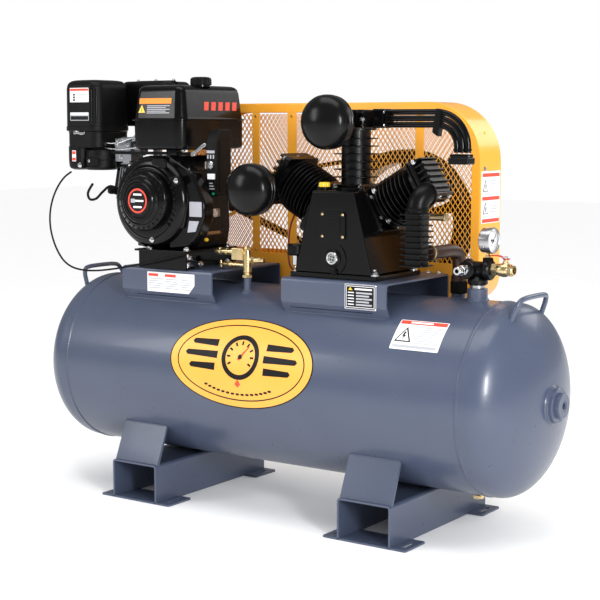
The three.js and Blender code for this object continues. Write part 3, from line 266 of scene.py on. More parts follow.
class Piece:
    """Closed shapes gathered into one object."""

    def __init__(self, name):
        self.name = name
        self.mesh = bmesh.new()
        self.finishes = []

    def gather(self, part, finish, bevel=0.0, segments=2):
        bmesh.ops.recalc_face_normals(part, faces=part.faces[:])
        if bevel:
            edges = [e for e in part.edges if e.is_manifold and e.calc_face_angle(0) > SHARP]
            bmesh.ops.bevel(
                part, geom=edges, offset=bevel, segments=segments, profile=0.5,
                affect="EDGES", clamp_overlap=True,
            )
        if finish not in self.finishes:
            self.finishes.append(finish)
        for face in part.faces:
            face.material_index = self.finishes.index(finish)
        copy = bpy.data.meshes.new("part")
        part.to_mesh(copy)
        part.free()
        self.mesh.from_mesh(copy)
        bpy.data.meshes.remove(copy)

    def skin(self, rings, finish, loop=False, bevel=0.0, segments=2):
        """A surface through rings of points; a ring of one point closes to a tip."""
        part = bmesh.new()
        rows = [[part.verts.new(p) for p in ring] for ring in rings]
        pairs = list(zip(rows, rows[1:])) + ([(rows[-1], rows[0])] if loop else [])
        for a, b in pairs:
            count = max(len(a), len(b))
            for i in range(count):
                j = (i + 1) % count
                corners = [a[i % len(a)], a[j % len(a)], b[j % len(b)], b[i % len(b)]]
                part.faces.new(list(dict.fromkeys(corners)))
        if not loop:
            for row in (rows[0], rows[-1]):
                if len(row) > 2:
                    part.faces.new(row)
        self.gather(part, finish, bevel, segments)

    def lathe(self, profile, origin, axis, finish, sides=48, bevel=0.0, ripple=None):
        """A profile of (radius, distance along the axis), turned."""
        u, v, w = basis(axis)
        o = Vector(origin)
        loop = profile[0] == profile[-1]
        rings = []
        for r, h in profile[:-1] if loop else profile:
            if r == 0:
                rings.append([o + w * h])
                continue
            ring = []
            for i in range(sides):
                angle = TAU * i / sides
                reach = r + (ripple(angle) if ripple else 0)
                ring.append(o + w * h + (u * math.cos(angle) + v * math.sin(angle)) * reach)
            rings.append(ring)
        self.skin(rings, finish, loop, bevel)

    def drum(self, radius, origin, axis, length, finish, sides=32, bevel=0.8):
        """A cylinder with eased edges."""
        e = min(bevel, radius * 0.4, length * 0.4)
        profile = [(0, 0), (radius - e, 0), (radius, e), (radius, length - e), (radius - e, length),
                   (0, length)]
        self.lathe(profile, origin, axis, finish, sides)

    def hoop(self, radius, thick, origin, axis, finish, sides=64, ripple=None):
        """A round ring, such as a weld bead."""
        profile = [(radius + thick * math.cos(TAU * i / 8), thick * math.sin(TAU * i / 8)) for i in range(8)]
        self.lathe([*profile, profile[0]], origin, axis, finish, sides, ripple=ripple)

    def prism(self, outline, axis, s0, s1, finish, bevel=0.8, segments=2):
        self.skin([[place_on(axis, a, b, s) for a, b in outline] for s in (s0, s1)], finish, bevel=bevel,
                  segments=segments)

    def box(self, x0, x1, y0, y1, z0, z1, finish, bevel=0.8, segments=2):
        self.prism(rectangle(x0, x1, y0, y1), "Z", z0, z1, finish, bevel, segments)

    def stack(self, levels, finish, round_steps=6):
        """Rounded rectangles (x0, x1, y0, y1, radius, z) one above another, as one skin."""
        rings = []
        for x0, x1, y0, y1, radius, z in levels:
            rings.append([Vector((x, y, z)) for x, y in rounded(x0, x1, y0, y1, radius, round_steps)])
        self.skin(rings, finish)

    def tube(self, path, radius, finish, sides=16):
        """A round bar along a path, with parallel-transported sections; radius may be a list."""
        points = [Vector(p) for p in path]
        radii = radius if isinstance(radius, list) else [radius] * len(points)
        tangents = [(b - a).normalized() for a, b in zip(points, points[1:])]
        tangents = [tangents[0], *[(a + b).normalized() for a, b in zip(tangents, tangents[1:])],
                    tangents[-1]]
        side = basis(tangents[0])[0]
        rings = []
        for p, t, r in zip(points, tangents, radii):
            side = (side - t * side.dot(t)).normalized()
            other = t.cross(side)
            angles = [TAU * i / sides for i in range(sides)]
            rings.append([p + (side * math.cos(g) + other * math.sin(g)) * r for g in angles])
        self.skin(rings, finish, bevel=0)

    def plate(self, outlines, axis, s0, s1, finish, bevel=0.5):
        """A sheet cut to an outline, with holes where further outlines are given."""
        curve = bpy.data.curves.new("plate", "CURVE")
        curve.dimensions = "2D"
        curve.fill_mode = "BOTH"
        curve.extrude = abs(s1 - s0) / 2 - bevel
        curve.bevel_depth = bevel
        curve.offset = -bevel
        curve.bevel_resolution = 1
        for outline in outlines:
            spline = curve.splines.new("POLY")
            spline.points.add(len(outline) - 1)
            for point, (a, b) in zip(spline.points, outline):
                point.co = (a, b, 0, 1)
            spline.use_cyclic_u = True
        holder = bpy.data.objects.new("plate", curve)
        mesh = bpy.data.meshes.new_from_object(holder)
        bpy.data.objects.remove(holder)
        part = bmesh.new()
        part.from_mesh(mesh)
        bpy.data.meshes.remove(mesh)
        bmesh.ops.remove_doubles(part, verts=part.verts[:], dist=0.01)
        for vertex in part.verts:
            vertex.co = place_on(axis, vertex.co.x, vertex.co.y, (s0 + s1) / 2 + vertex.co.z)
        self.gather(part, finish)

    def decal(self, surface, outline, finish, lift=0.15, thick=0.25, rings=1):
        """A thin label on a surface, skinned from its middle so that it follows a curve."""
        if rings > 1:
            outline = fine(outline)
        a0 = sum(a for a, _ in outline) / len(outline)
        b0 = sum(b for _, b in outline) / len(outline)
        levels = [(k / rings, lift) for k in range(1, rings + 1)]
        levels += [(k / rings, lift + thick) for k in range(rings, 0, -1)]
        rows = [[surface(a0, b0, lift)]]
        for share, height in levels:
            rows.append([surface(a0 + (a - a0) * share, b0 + (b - b0) * share, height) for a, b in outline])
        self.skin([*rows, [surface(a0, b0, lift + thick)]], finish)

    def outline_decal(self, surface, outer, inner, finish, lift=0.4, thick=0.2):
        """A thin printed line between two outlines of as many points."""
        rows = [[surface(a, b, h) for a, b in line] for line, h in (
            (outer, lift), (outer, lift + thick), (inner, lift + thick), (inner, lift))]
        self.skin(rows, finish, loop=True)

    def block(self, place, u, v, outline, s0, s1, finish, bevel=0.8, segments=2):
        """A prism of an outline drawn along u and v from a place, thick along u x v."""
        o, a_axis, b_axis = Vector(place), Vector(u).normalized(), Vector(v).normalized()
        w = a_axis.cross(b_axis)
        rings = [[o + a_axis * a + b_axis * b + w * h for a, b in outline] for h in (s0, s1)]
        self.skin(rings, finish, bevel=bevel, segments=segments)

    def bolt(self, place, axis, across, height, finish="bright", washer=True):
        """A hexagon head on a washer, with a chamfered top."""
        p, w = Vector(place), Vector(axis).normalized()
        r = across / math.sqrt(3)
        if washer:
            self.drum(r * 1.35, p, w, height * 0.22, finish, 24, 0.3)
        self.lathe([(0, 0), (r, 0), (r, height * 0.8), (r * 0.8, height), (0, height)], p, w, finish, 6)
        self.drum(r * 0.62, p + w * height * 0.95, w, height * 0.3, finish, 16, 0.4)

    def done(self, node, *others, stands_in=True):
        """Makes the object, riding as the node does, in place of it unless it is an addition."""
        self.mesh.transform(Matrix.Scale(MM, 4))
        mesh = bpy.data.meshes.new(self.name)
        self.mesh.to_mesh(mesh)
        self.mesh.free()
        for finish in self.finishes:
            mesh.materials.append(finish_named(finish))
        mesh.shade_smooth()
        mesh.set_sharp_from_angle(angle=SHARP + 0.05)
        obj = bpy.data.objects.new(self.name, mesh)
        bpy.context.scene.collection.objects.link(obj)
        weighted = obj.modifiers.new("normals", "WEIGHTED_NORMAL")
        weighted.keep_sharp = True
        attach(obj, BODY_OF[node])
        if stands_in:
            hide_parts(node, *others)


# ---- Throttle cable ----
CABLE_ROUTE = [
    (-203.4, -97, 648), (-209, -98, 648), (-216, -104, 648), (-220, -115, 648), (-220, -134, 647),
    (-219, -157, 647), (-219, -180, 646), (-229, -201, 643), (-250, -212, 639), (-284, -219, 630),
    (-326, -220, 619), (-385, -219, 607), (-447, -216, 596), (-510, -212, 588), (-568, -204, 586),
    (-618, -194, 592), (-655, -185, 607), (-685, -177, 633), (-706, -171, 663), (-719, -166, 695),
    (-723, -162, 727), (-720, -158, 757), (-711, -154, 785), (-697, -149, 811), (-683, -142, 830),
    (-672, -135, 840), (-668, -133, 843),
]
CABLE_RADIUS = 2.5


def throttle_cable():
    path = [p * MM for p in smooth_path(CABLE_ROUTE, 5)]
    curve = bpy.data.curves.new("cable", "CURVE")
    curve.dimensions = "3D"
    curve.bevel_depth = CABLE_RADIUS * MM
    curve.bevel_resolution = 4
    curve.use_fill_caps = True
    spline = curve.splines.new("POLY")
    spline.points.add(len(path) - 1)
    for point, p in zip(spline.points, path):
        point.co = (*p, 1)
    curve.materials.append(finish_named("rubber_black"))
    cable = bpy.data.objects.new("cable_sheath", curve)
    bpy.context.scene.collection.objects.link(cable)
    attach(cable, "frame")
    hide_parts("throttle_cable")


# ---- Floor and lights ----
def softbox(name, place, target, width, height, power, tint=(1, 1, 1)):
    data = bpy.data.lights.new(name, "AREA")
    data.shape = "RECTANGLE"
    data.size, data.size_y = width, height
    data.energy = power
    data.color = tint
    light = bpy.data.objects.new(name, data)
    light.location = place
    light.rotation_mode = "QUATERNION"
    light.rotation_quaternion = (Vector(target) - Vector(place)).to_track_quat("-Z", "Y")
    bpy.context.scene.collection.objects.link(light)


WORLD_LIGHT = 1.0
WORLD_IN_REFLECTIONS = 0.28
FLOOR_HALF = 14.0


def make_studio():
    half = FLOOR_HALF
    mesh = bpy.data.meshes.new("floor")
    mesh.from_pydata([(-half, -half, 0), (half, -half, 0), (half, half, 0), (-half, half, 0)], [],
                     [(0, 1, 2, 3)])
    mesh.materials.append(procedural("floor_paper", (0.98, 0.98, 0.98), 0.9, mottle=0.01, grain=200,
                                     bump=0.02, specular=0.1))
    floor = bpy.data.objects.new("floor", mesh)
    bpy.context.scene.collection.objects.link(floor)
    world = bpy.data.worlds.new("studio")
    world.use_nodes = True
    tree = world.node_tree
    background = tree.nodes["Background"]
    background.inputs["Color"].default_value = (1, 1, 1, 1)
    seen = tree.nodes.new("ShaderNodeLightPath")
    level = tree.nodes.new("ShaderNodeMapRange")
    level.inputs["To Min"].default_value = WORLD_LIGHT
    level.inputs["To Max"].default_value = WORLD_IN_REFLECTIONS
    tree.links.new(seen.outputs["Is Glossy Ray"], level.inputs["Value"])
    tree.links.new(level.outputs["Result"], background.inputs["Strength"])
    bpy.context.scene.world = world
    bpy.context.scene.view_settings.view_transform = "Standard"
    softbox("overhead", (0.1, -0.5, 3.0), (0, 0, 0.5), 2.4, 1.4, 30)
    softbox("right_front", (2.9, -1.9, 1.35), (0.3, 0, 0.6), 0.45, 1.0, 70)
    softbox("left_front", (-2.2, -2.6, 1.9), (-0.1, 0, 0.6), 0.8, 1.2, 20)
    softbox("behind", (1.2, 2.6, 2.0), (0, 0, 0.7), 1.6, 1.0, 12)


# ---- Receiver ----
def weld_ripple(count, depth):
    return lambda angle: depth * abs(math.sin(count * angle / 2))


def tank():
    r = TANK_RADIUS
    axis = (TANK_Y, TANK_Z)
    shell = Piece("receiver_shell")
    shell.lathe([(r, -HALF_SHELL), (r, HALF_SHELL), (r - 4, HALF_SHELL), (r - 4, -HALF_SHELL),
                 (r, -HALF_SHELL)], (0, *axis), (1, 0, 0), "slate", 160)
    for x in (-HALF_SHELL, HALF_SHELL):
        shell.lathe([(r - 1, -5), (r + 1, -3.5), (r + 2, 0), (r + 1, 3.5), (r - 1, 5), (r - 1, -5)],
                    (x, *axis), (1, 0, 0), "weld", 320, ripple=weld_ripple(160, 0.5))
    sockets = [("tee", 519.5, TANK_Y, 24, 590, 13), ("pilot", -98, TANK_Y - 75, 9.5, 584, 5),
               ("check", 438, TANK_Y + 58, 17, 568, 11)]
    for _, x, y, radius, top, bore in sockets:
        foot = TANK_Z + math.sqrt(r * r - (abs(y - TANK_Y) + radius) ** 2) - 4
        shell.lathe([(bore, foot), (radius, foot), (radius, top - 1.5), (radius - 1.5, top), (bore, top),
                     (bore, foot)], (x, y, 0), (0, 0, 1), "slate", 40)
        rise = TANK_Z + math.sqrt(r * r - (y - TANK_Y) ** 2)
        shell.lathe([(radius - 1, rise - 7), (radius + 6, rise - 6), (radius + 3.5, rise - 0.5),
                     (radius + 1, rise + 4), (radius - 1, rise + 5), (radius - 1, rise - 7)], (x, y, 0),
                    (0, 0, 1), "weld", 72, ripple=weld_ripple(36, 0.6))
    shell.drum(14, (537, TANK_Y, TANK_Z - r - 4), (0, 0, 1), 10, "slate", 32)
    shell.done("tank_shell")


def tank_head(side, node):
    r = TANK_RADIUS
    head = Piece("receiver_head_" + ("right" if side > 0 else "left"))
    straight, depth = 22, 110
    profile = [(r - 5, 1), (r, 1), (r, straight)]
    for i in range(1, 25):
        angle = i / 25 * math.pi / 2
        profile.append((r * math.cos(angle), straight + depth * math.sin(angle)))
    profile.append((0, straight + depth))
    head.lathe(profile, (side * HALF_SHELL, TANK_Y, TANK_Z), (side, 0, 0), "slate", 160)
    seat = straight + depth
    end = HEAD_REACH - HALF_SHELL
    middle = (side * HALF_SHELL, TANK_Y, TANK_Z)
    head.lathe([(0, seat - 12), (44, seat - 12), (44, seat + 2), (42, seat + 4), (42, end - 13),
                (40, end - 11), (0, end - 11)], middle, (side, 0, 0), "slate", 56)
    head.lathe([(42, seat - 9), (50, seat - 9), (46, seat - 1), (42, seat + 2), (42, seat - 9)], middle,
               (side, 0, 0), "weld", 120, ripple=weld_ripple(56, 0.7))
    head.lathe([(12, end - 20), (30, end - 20), (30, end - 2), (28, end), (12, end), (12, end - 20)], middle,
               (side, 0, 0), "slate", 48)
    head.lathe([(8.6, end - 22), (12.5, end - 22), (12.5, end - 0.8), (9.6, end - 0.6), (8.6, end - 1.6),
                (8.6, end - 22)], middle, (side, 0, 0), "slate", 6)
    head.drum(11, (middle[0] + side * (end - 16), TANK_Y, TANK_Z), (side, 0, 0), 1, "satin_black", 24, 0.2)
    head.done(node)


def tank_handle(side, node):
    handle = Piece("lifting_handle_" + ("right" if side > 0 else "left"))
    half = [(643, 79, 521), (650, 78, 541), (658, 75, 562), (663, 66, 575), (665, 48, 579), (665, 24, 580)]
    front = [(side * x, TANK_Y - y, z) for x, y, z in half]
    rear = [(side * x, TANK_Y + y, z) for x, y, z in reversed(half)]
    handle.tube(smooth_path([*front, *rear], 7), 6, "slate", 20)
    for x, y, z in (front[0], rear[-1]):
        foot = Vector((x, y, z - 2))
        handle.lathe([(0, -7), (11, -6), (10, 0), (6.5, 4), (0, 5)], foot, (side * 0.35, 0, 0.94), "weld", 28,
                     ripple=weld_ripple(12, 0.9))
    handle.done(node)


def foot(centre, node):
    x0, x1, y0, y1, _, _ = span(node)
    name = "bent_foot_right" if centre > 0 else "bent_foot_left"
    piece = Piece(name)
    half, top, plate = 73, 102, 5
    middle = (x0 + x1) / 2
    outside = rounded(middle - half, middle + half, -20, top, [0.5, 0.5, 8, 8], 5)
    inside = rounded(middle - half + plate, middle + half - plate, -20, top - plate, [0.5, 0.5, 4, 4], 5)
    profile = [(middle - half, 0.6)] + [q for q in reversed(outside) if q[1] > 1]
    profile += [(middle + half, 0.6), (middle + half - plate, 0.6)]
    profile += [q for q in inside if q[1] > 1] + [(middle - half + plate, 0.6)]
    piece.prism(dedupe(profile), "Y", y0, y1, "slate", 0.7)
    for end, inner in ((y0, y0 + 93), (y1, y1 - 93)):
        low, high = min(end, inner), max(end, inner)
        holes = []
        for edge in (-1, 1):
            hx = middle + edge * (half + (x1 - x0) / 2) / 2
            hy = (low + high) / 2
            holes.append(rounded(hx - 5, hx + 5, hy - 25, hy + 25, 4.9, 5))
        piece.plate([rounded(x0, x1, low, high, 5, 4), *holes], "Z", 0, plate, "slate", 0.6)
    for s in (-1, 1):
        base = TANK_Y + s * 226
        lip = TANK_Y + s * 186
        cheek = [(base, top - 5), (base, top), (lip, 197), (lip - s * 5, 193.5), (base - s * 7, top - 5)]
        piece.prism(cheek, "X", middle - half + 2, middle + half - 2, "slate", 0.9)
        bead = [Vector((middle - half + 4 + i * 2.4, lip - s * 1.5, 197.5)) for i in range(59)]
        piece.tube(bead, [3.2 + 0.6 * math.sin(i * 2.2) for i in range(59)], "weld", 10)
    piece.done(node)


def dedupe(points):
    kept = []
    for p in points:
        if not kept or abs(p[0] - kept[-1][0]) + abs(p[1] - kept[-1][1]) > 0.05:
            kept.append(p)
    return kept


def deck(name, node, slot_span, bracket):
    x0, x1, _, _, _, top = span(node)
    half, plate = 150, 5
    y = TANK_Y
    piece = Piece(name)

    bend = [(y - half, top - 9), (y - half + 1.2, top - 4), (y - half + 5, top - 0.8), (y - half + 9, top),
            (y + half - 9, top), (y + half - 5, top - 0.8), (y + half - 1.2, top - 4), (y + half, top - 9),
            (y + half - plate, top - 9), (y + half - plate - 4, top - plate),
            (y - half + plate + 4, top - plate), (y - half + plate, top - 9)]
    piece.prism(bend, "X", x0, x1, "slate", 0.6)
    for s in (-1, 1):
        section = [(y + s * 150, top - 8.6), (y + s * 150, 546), (y + s * 147.5, 541), (y + s * 134, 517),
                   (y + s * 129.8, 519.5), (y + s * 143, 543), (y + s * 145, 547), (y + s * 145, top - 8.6)]
        cut = [(y + s * 150, top - 8.6), (y + s * 150, 546), (y + s * 147.5, 541), (y + s * 141.2, 530),
               (y + s * 137, 532.4), (y + s * 143, 543), (y + s * 145, 547), (y + s * 145, top - 8.6)]
        strip = [(y + s * 139.9, 527.6), (y + s * 134, 517), (y + s * 129.8, 519.5), (y + s * 135.7, 530.0)]
        a, b = slot_span
        piece.prism(section, "X", x0, a, "slate", 0.5)
        piece.prism(section, "X", b, x1, "slate", 0.5)
        piece.prism(cut, "X", a - 0.1, b + 0.1, "slate", 0.3)
        piece.prism(strip, "X", a - 0.1, b + 0.1, "slate", 0.3)
        bead = [Vector((x0 + 6 + i * 3, y + s * 133.5, 516.5)) for i in range(int((x1 - x0 - 12) / 3))]
        piece.tube(bead, [2.4 + 0.5 * math.sin(i * 2.1) for i in range(len(bead))], "weld", 8)
    piece.box(bracket, bracket + 60, y + half - 1, span(node)[3], 552, top - 10, "slate", 1)
    for x in (bracket + 15, bracket + 45):
        piece.bolt((x, y + half + 2, top - 1), (0, 0, 1), 9, 4)
    piece.done(node)


def drain():
    x0, x1, y0, y1, z0, z1 = span("drain_valve")
    x, y = (x0 + x1) / 2, (y0 + y1) / 2
    body = Piece("drain_cock")
    body.lathe([(3, z0), (6, z0), (6.5, z0 + 3), (6.5, z0 + 4), (7.4, z0 + 14), (7.4, z1), (3, z1), (3, z0)],
               (x, y, 0), (0, 0, 1), "brass", 32)
    body.lathe([(3.5, z0 + 5), (11, z0 + 5), (11, z0 + 13), (3.5, z0 + 13), (3.5, z0 + 5)], (x, y, 0),
               (0, 0, 1), "brass", 6, 0.6)
    body.done("drain_valve")
    x0, x1, y0, y1, z0, z1 = span("drain_knob")
    knob = Piece("drain_handle")
    knob.drum(4.3, (x, y1, 95.5), (0, -1, 0), y1 - y0 - 2, "brass", 24)
    knob.prism(rounded(x0, x1, z0, z1, 3.2, 5), "Y", y0, y0 + 4, "brass", 0.8)
    knob.done("drain_knob")



# ---- Engine ----
ENGINE_TILT = math.radians(12)
CYLINDER_AXIS = Vector((-math.cos(ENGINE_TILT), 0, math.sin(ENGINE_TILT)))
CYLINDER_UP = Vector((math.sin(ENGINE_TILT), 0, math.cos(ENGINE_TILT)))
ENGINE_CENTRE = Vector((ENGINE_X, TANK_Y - 17, ENGINE_Z))


def engine_base():
    x0, x1, y0, y1, z0, z1 = span("engine_base")
    piece = Piece("engine_mount")
    piece.plate([rounded(x0, x1, y0, y1, 5, 3)], "Z", z1 - 5, z1, "gloss_black", 0.8)
    left, right = x0 + 12, x1 - 4
    for y, s in ((y0 + 6, 1), (y1 - 4, -1)):
        web = [(y, z0), (y + s * 34, z0), (y + s * 34, z0 + 5), (y + s * 5, z0 + 5), (y + s * 5, z1 - 5),
               (y, z1 - 5)]
        piece.prism(web, "X", left, right, "gloss_black", 0.8)
    for x in (left + 22, right - 14):
        for y in (y0 + 26, y1 - 24):
            piece.bolt((x, y, z0 + 5), (0, 0, 1), 13, 8)
            piece.bolt((x, y, z1), (0, 0, 1), 13, 7)
    piece.bolt((right, -121, 613), (1, 0, 0), 10, 6)
    piece.done("engine_base")


def engine_block():
    x0, x1, y0, y1, z0, z1 = span("engine_block")
    piece = Piece("crankcase_casting")
    shape = [(x0, z0), (x1 - 10, z0), (x1, 700), (x1 - 8, 858), (x1 - 44, z1), (x0 + 42, z1), (x0, 850)]
    piece.prism(shape, "Y", y0, y1 - 8, "cast_black", 5, 3)
    cover = [(x0 + 8, z0 + 8), (x1 - 16, z0 + 8), (x1 - 9, 706), (x1 - 16, 850), (x1 - 50, z1 - 10),
             (x0 + 48, z1 - 10), (x0 + 8, 842)]
    piece.prism(cover, "Y", y1 - 8, y1 + 2, "cast_grey", 2)
    centre = (ENGINE_X, y1 + 2, ENGINE_Z)
    piece.lathe([(17, -4), (52, -4), (46, 6), (30, 8), (28, 16), (17, 16), (17, -4)], centre, (0, 1, 0),
                "cast_grey", 48)
    for i in range(6):
        angle = i * TAU / 6 + 0.3
        direction = Vector((math.cos(angle), 0, math.sin(angle)))
        across = Vector((-math.sin(angle), 0, math.cos(angle)))
        start = Vector(centre) + direction * 34
        piece.block(start, direction, across, rectangle(0, 42, -2, 2), -5, 1, "cast_grey", 0.8)
    for x, z in ((x0 + 18, z0 + 18), (x1 - 26, z0 + 18), (x1 - 20, 780), (x1 - 54, z1 - 22),
                 (x0 + 56, z1 - 22), (x0 + 18, 830), (x0 + 18, 740)):
        piece.bolt((x, y1 + 2, z), (0, 1, 0), 11, 6)
    piece.drum(5, (x1 - 2, -72, 672), (1, 0, 0), 7, "yellow", 20)
    piece.drum(3, (x1 + 4.5, -72, 672), (1, 0, 0), 4, "yellow", 16)
    piece.box(x1 - 3, x1 + 9, -74, -20, 730, 752, "cast_grey", 3)
    piece.drum(12, (x1 - 6, -48, 741), (1, 0, 0), 20, "bright", 24, 2)
    label = flat((x1 - 8, -38, 694), (0, 1, 0), (0, 0, 1))
    piece.box(x1 - 14, x1 - 2, -76, 0, 681, 707, "bronze_tube", 2)
    piece.decal(label, rounded(-30, 30, -9, 9, 1.5, 2), "aged_brass", lift=6.2)
    piece.done("engine_block")


def engine_cylinder():
    piece = Piece("engine_barrel")
    profile = [(0, 97), (50, 97), (50, 101)]
    for i in range(6):
        s = 102 + i * 8
        profile += [(51, s), (64, s), (65, s + 1), (64, s + 2.2), (51, s + 2.6)]
    piece.lathe([*profile, (50, 152), (0, 152)], ENGINE_CENTRE, CYLINDER_AXIS, "cast_grey", 48)
    piece.done("engine_cylinder")


def engine_head():
    piece = Piece("engine_cylinder_head")
    u, v = Vector((0, 1, 0)), CYLINDER_UP

    def slab(outline, s0, s1, finish, bevel=1.5):
        piece.block(ENGINE_CENTRE, v, u, [(b, a) for a, b in outline], s0, s1, finish, bevel)

    slab(rounded(-46, 46, -42, 42, 8), 152.3, 188, "cast_grey")
    for i in range(4):
        slab(rounded(-60, 60, -46, 46, 6), 154.5 + i * 8, 157.3 + i * 8, "cast_grey", 0.7)
    slab(rounded(-48, 48, -40, 38, 12), 187, 204, "satin_black", 4)
    for a in (-38, 38):
        for b in (-30, 30):
            place = ENGINE_CENTRE + u * a + v * b + CYLINDER_AXIS * 203
            piece.bolt(place, CYLINDER_AXIS, 10, 5, "steel")
    foot_place = ENGINE_CENTRE + CYLINDER_AXIS * 172 + Vector((0, -58, -18))
    lead = Vector((-0.35, -1, 0))
    piece.lathe([(0, -2), (11, -2), (11, 5), (8, 6), (8, 12), (6, 14), (6, 18), (0, 18)], foot_place, lead,
                "bright", 6)
    piece.lathe([(0, 12), (9, 12), (10, 18), (9, 34), (7, 38), (0, 38)], foot_place, lead, "rubber_black", 24)
    piece.done("engine_head")


def plug_lead():
    piece = Piece("plug_lead")
    piece.tube(smooth_path([(-582, -142, 812), (-594, -140, 800), (-604, -138, 784), (-600, -134, 770),
                            (-582, -130, 772), (-562, -126, 790), (-542, -118, 806), (-516, -112, 800),
                            (-480, -108, 800)]), 3.4, "rubber_black", 14)
    piece.done("engine_head", stands_in=False)


def fan_housing():
    x0, x1, y0, y1, z0, z1 = span("fan_housing")
    piece = Piece("blower_housing")
    centre = (ENGINE_X, y0, ENGINE_Z - 5)
    r = 119
    profile = [(72, 0), (88, 0), (91, 1.6), (94, 0), (97, 2)]
    for i in range(7):
        angle = i / 6 * math.pi / 2
        profile.append((r - 22 + 22 * math.sin(angle), 2 + 24 * (1 - math.cos(angle))))
    profile += [(r, y1 - y0), (r - 4, y1 - y0), (r - 4, 28), (90, 5), (72, 4), (72, 0)]
    piece.lathe(profile, centre, (0, 1, 0), "gloss_black", 96)
    shoulder = [(-300, z0), (-236, z0 + 8), (-205, 690), (x1, 735), (x1, 778), (-222, 850), (-300, z1)]
    piece.prism(shoulder, "Y", y0 + 22, y1, "gloss_black", 7, 4)
    raised = [(-292, 704), (-246, 706), (-237, 740), (-238, 790), (-248, 832), (-292, 850)]
    piece.prism(raised, "Y", y0 + 14, y0 + 26, "gloss_black", 5, 3)
    left = [(x0 + 3, 735), (x0 + 75, z0 + 2), (x0 + 140, z0 + 2), (x0 + 140, 735)]
    piece.prism(left, "Y", y0 + 30, y1, "gloss_black", 4, 3)
    # Louvres at the right and below the starter
    for i in range(9):
        angle = math.radians(-38 + i * 9)
        direction = Vector((math.cos(angle), 0, math.sin(angle)))
        across = Vector((-math.sin(angle), 0, math.cos(angle)))
        start = Vector(centre) + direction * 84
        piece.block(start, direction, across, rounded(0, 13, -2.2, 2.2, 2, 3), 0, 4, "gloss_black", 0.8)
    for x, z, axis_y in ((-256, 829, -190), (-338, 675, -190)):
        piece.drum(8, (x, axis_y + 9, z), (0, -1, 0), 5, "gloss_black", 24)
        piece.bolt((x, axis_y + 4, z), (0, -1, 0), 9, 6)
    piece.block((-256, -180, 829), (1, 0, 0.25), (-0.25, 0, 1), rounded(-34, 16, -12, 12, 10), 0, 6,
                "gloss_black", 2)
    # Rating plates on the right wing
    wing = flat((0, y0 + 22, 0), (1, 0, 0), (0, 0, 1))
    piece.decal(wing, rounded(-230, -190, 738, 776, 1.5, 2), "label_silver", lift=0.3)
    for i in range(6):
        piece.decal(wing, rectangle(-227, -193, 742 + i * 5.4, 744 + i * 5.4), "label_grey", lift=0.6)
    piece.decal(wing, [(-237, 697), (-211, 700), (-199, 727), (-231, 727)], "label_silver", lift=0.3)
    for i in range(4):
        piece.decal(wing, rectangle(-228 + i * 1.5, -208 + i * 1.5, 702 + i * 6, 704.4 + i * 6),
                    "label_grey", lift=0.6)
    piece.done("fan_housing")


def recoil_cover():
    _, _, y0, y1, _, _ = span("recoil_cover")
    piece = Piece("starter_cover")
    centre = (ENGINE_X, y0, ENGINE_Z)
    profile = [(0, 0.6), (31, 0.6), (33, 1.4), (36, 4), (42, 4.4), (43.5, 3), (46, 3), (47.5, 5), (52, 5.4),
               (53.5, 4.4), (56, 5.6), (58, 9), (61, 11), (63, 10), (66, 11), (70, 13), (76, 17), (79, 22),
               (79, y1 - y0), (75, y1 - y0), (75, 24), (50, 13), (0, 9)]
    piece.lathe(profile, centre, (0, 1, 0), "gloss_black", 96)
    for i in range(26):
        angle = TAU * i / 26
        direction = Vector((math.cos(angle), 0, math.sin(angle)))
        across = Vector((-math.sin(angle), 0, math.cos(angle)))
        start = Vector(centre) + Vector((0, 15, 0)) + direction * 60
        piece.block(start, direction, across, rounded(0, 14, -1.5, 1.5, 1.4, 2), -1, 4, "gloss_black", 0.6, 1)
    front = flat((ENGINE_X, y0 + 0.6, ENGINE_Z), (1, 0, 0), (0, 0, 1))
    piece.decal(front, ellipse(0, 0, 31, 31, 56), "label_black", lift=0.1)
    piece.outline_decal(front, ellipse(0, 0, 31.5, 31.5, 72), ellipse(0, 0, 27, 27, 72), "label_red",
                        lift=0.3, thick=0.5)
    for z, half in ((16, 14), (0, 20), (-16, 14)):
        piece.decal(front, rounded(-half, half, z - 2.4, z + 2.4, 1, 2), "label_white", lift=0.45)
    piece.decal(front, rounded(-22, -8, -5, 5, 1, 2), "label_grey", lift=0.8)
    piece.done("recoil_cover")


def recoil_grip():
    x0, x1, y0, _, z0, z1 = span("recoil_grip")
    x, z = (x0 + x1) / 2, (z0 + z1) / 2
    piece = Piece("starter_grip")
    piece.block((x, y0 + 6, z), (1, 0, -0.25), (0.25, 0, 1), rounded(-24, 24, -8, 8, 7.5, 6), -5, 5,
                "plastic_black", 3, 3)
    piece.lathe([(3, 0), (9, 0), (13, 5), (13, 12), (8, 17), (3, 17), (3, 0)], (x, y0 + 8, z), (0, 1, 0),
                "rubber_black", 28)
    for i in (-1, 0, 1):
        piece.block((x + i * 11, y0 + 1.2, z - i * 2.8), (1, 0, 0), (0, 0, 1),
                    rounded(-2, 2, -6, 6, 1.8, 3), -0.6, 1, "plastic_black", 0.5)
    piece.done("recoil_grip")


def levels_of(box, radius, steps):
    """Stack levels for a rounded block from (inset, height) pairs."""
    x0, x1, y0, y1 = box
    return [(x0 + i, x1 - i, y0 + i, y1 - i, max(4, radius - i * 0.6), z) for i, z in steps]


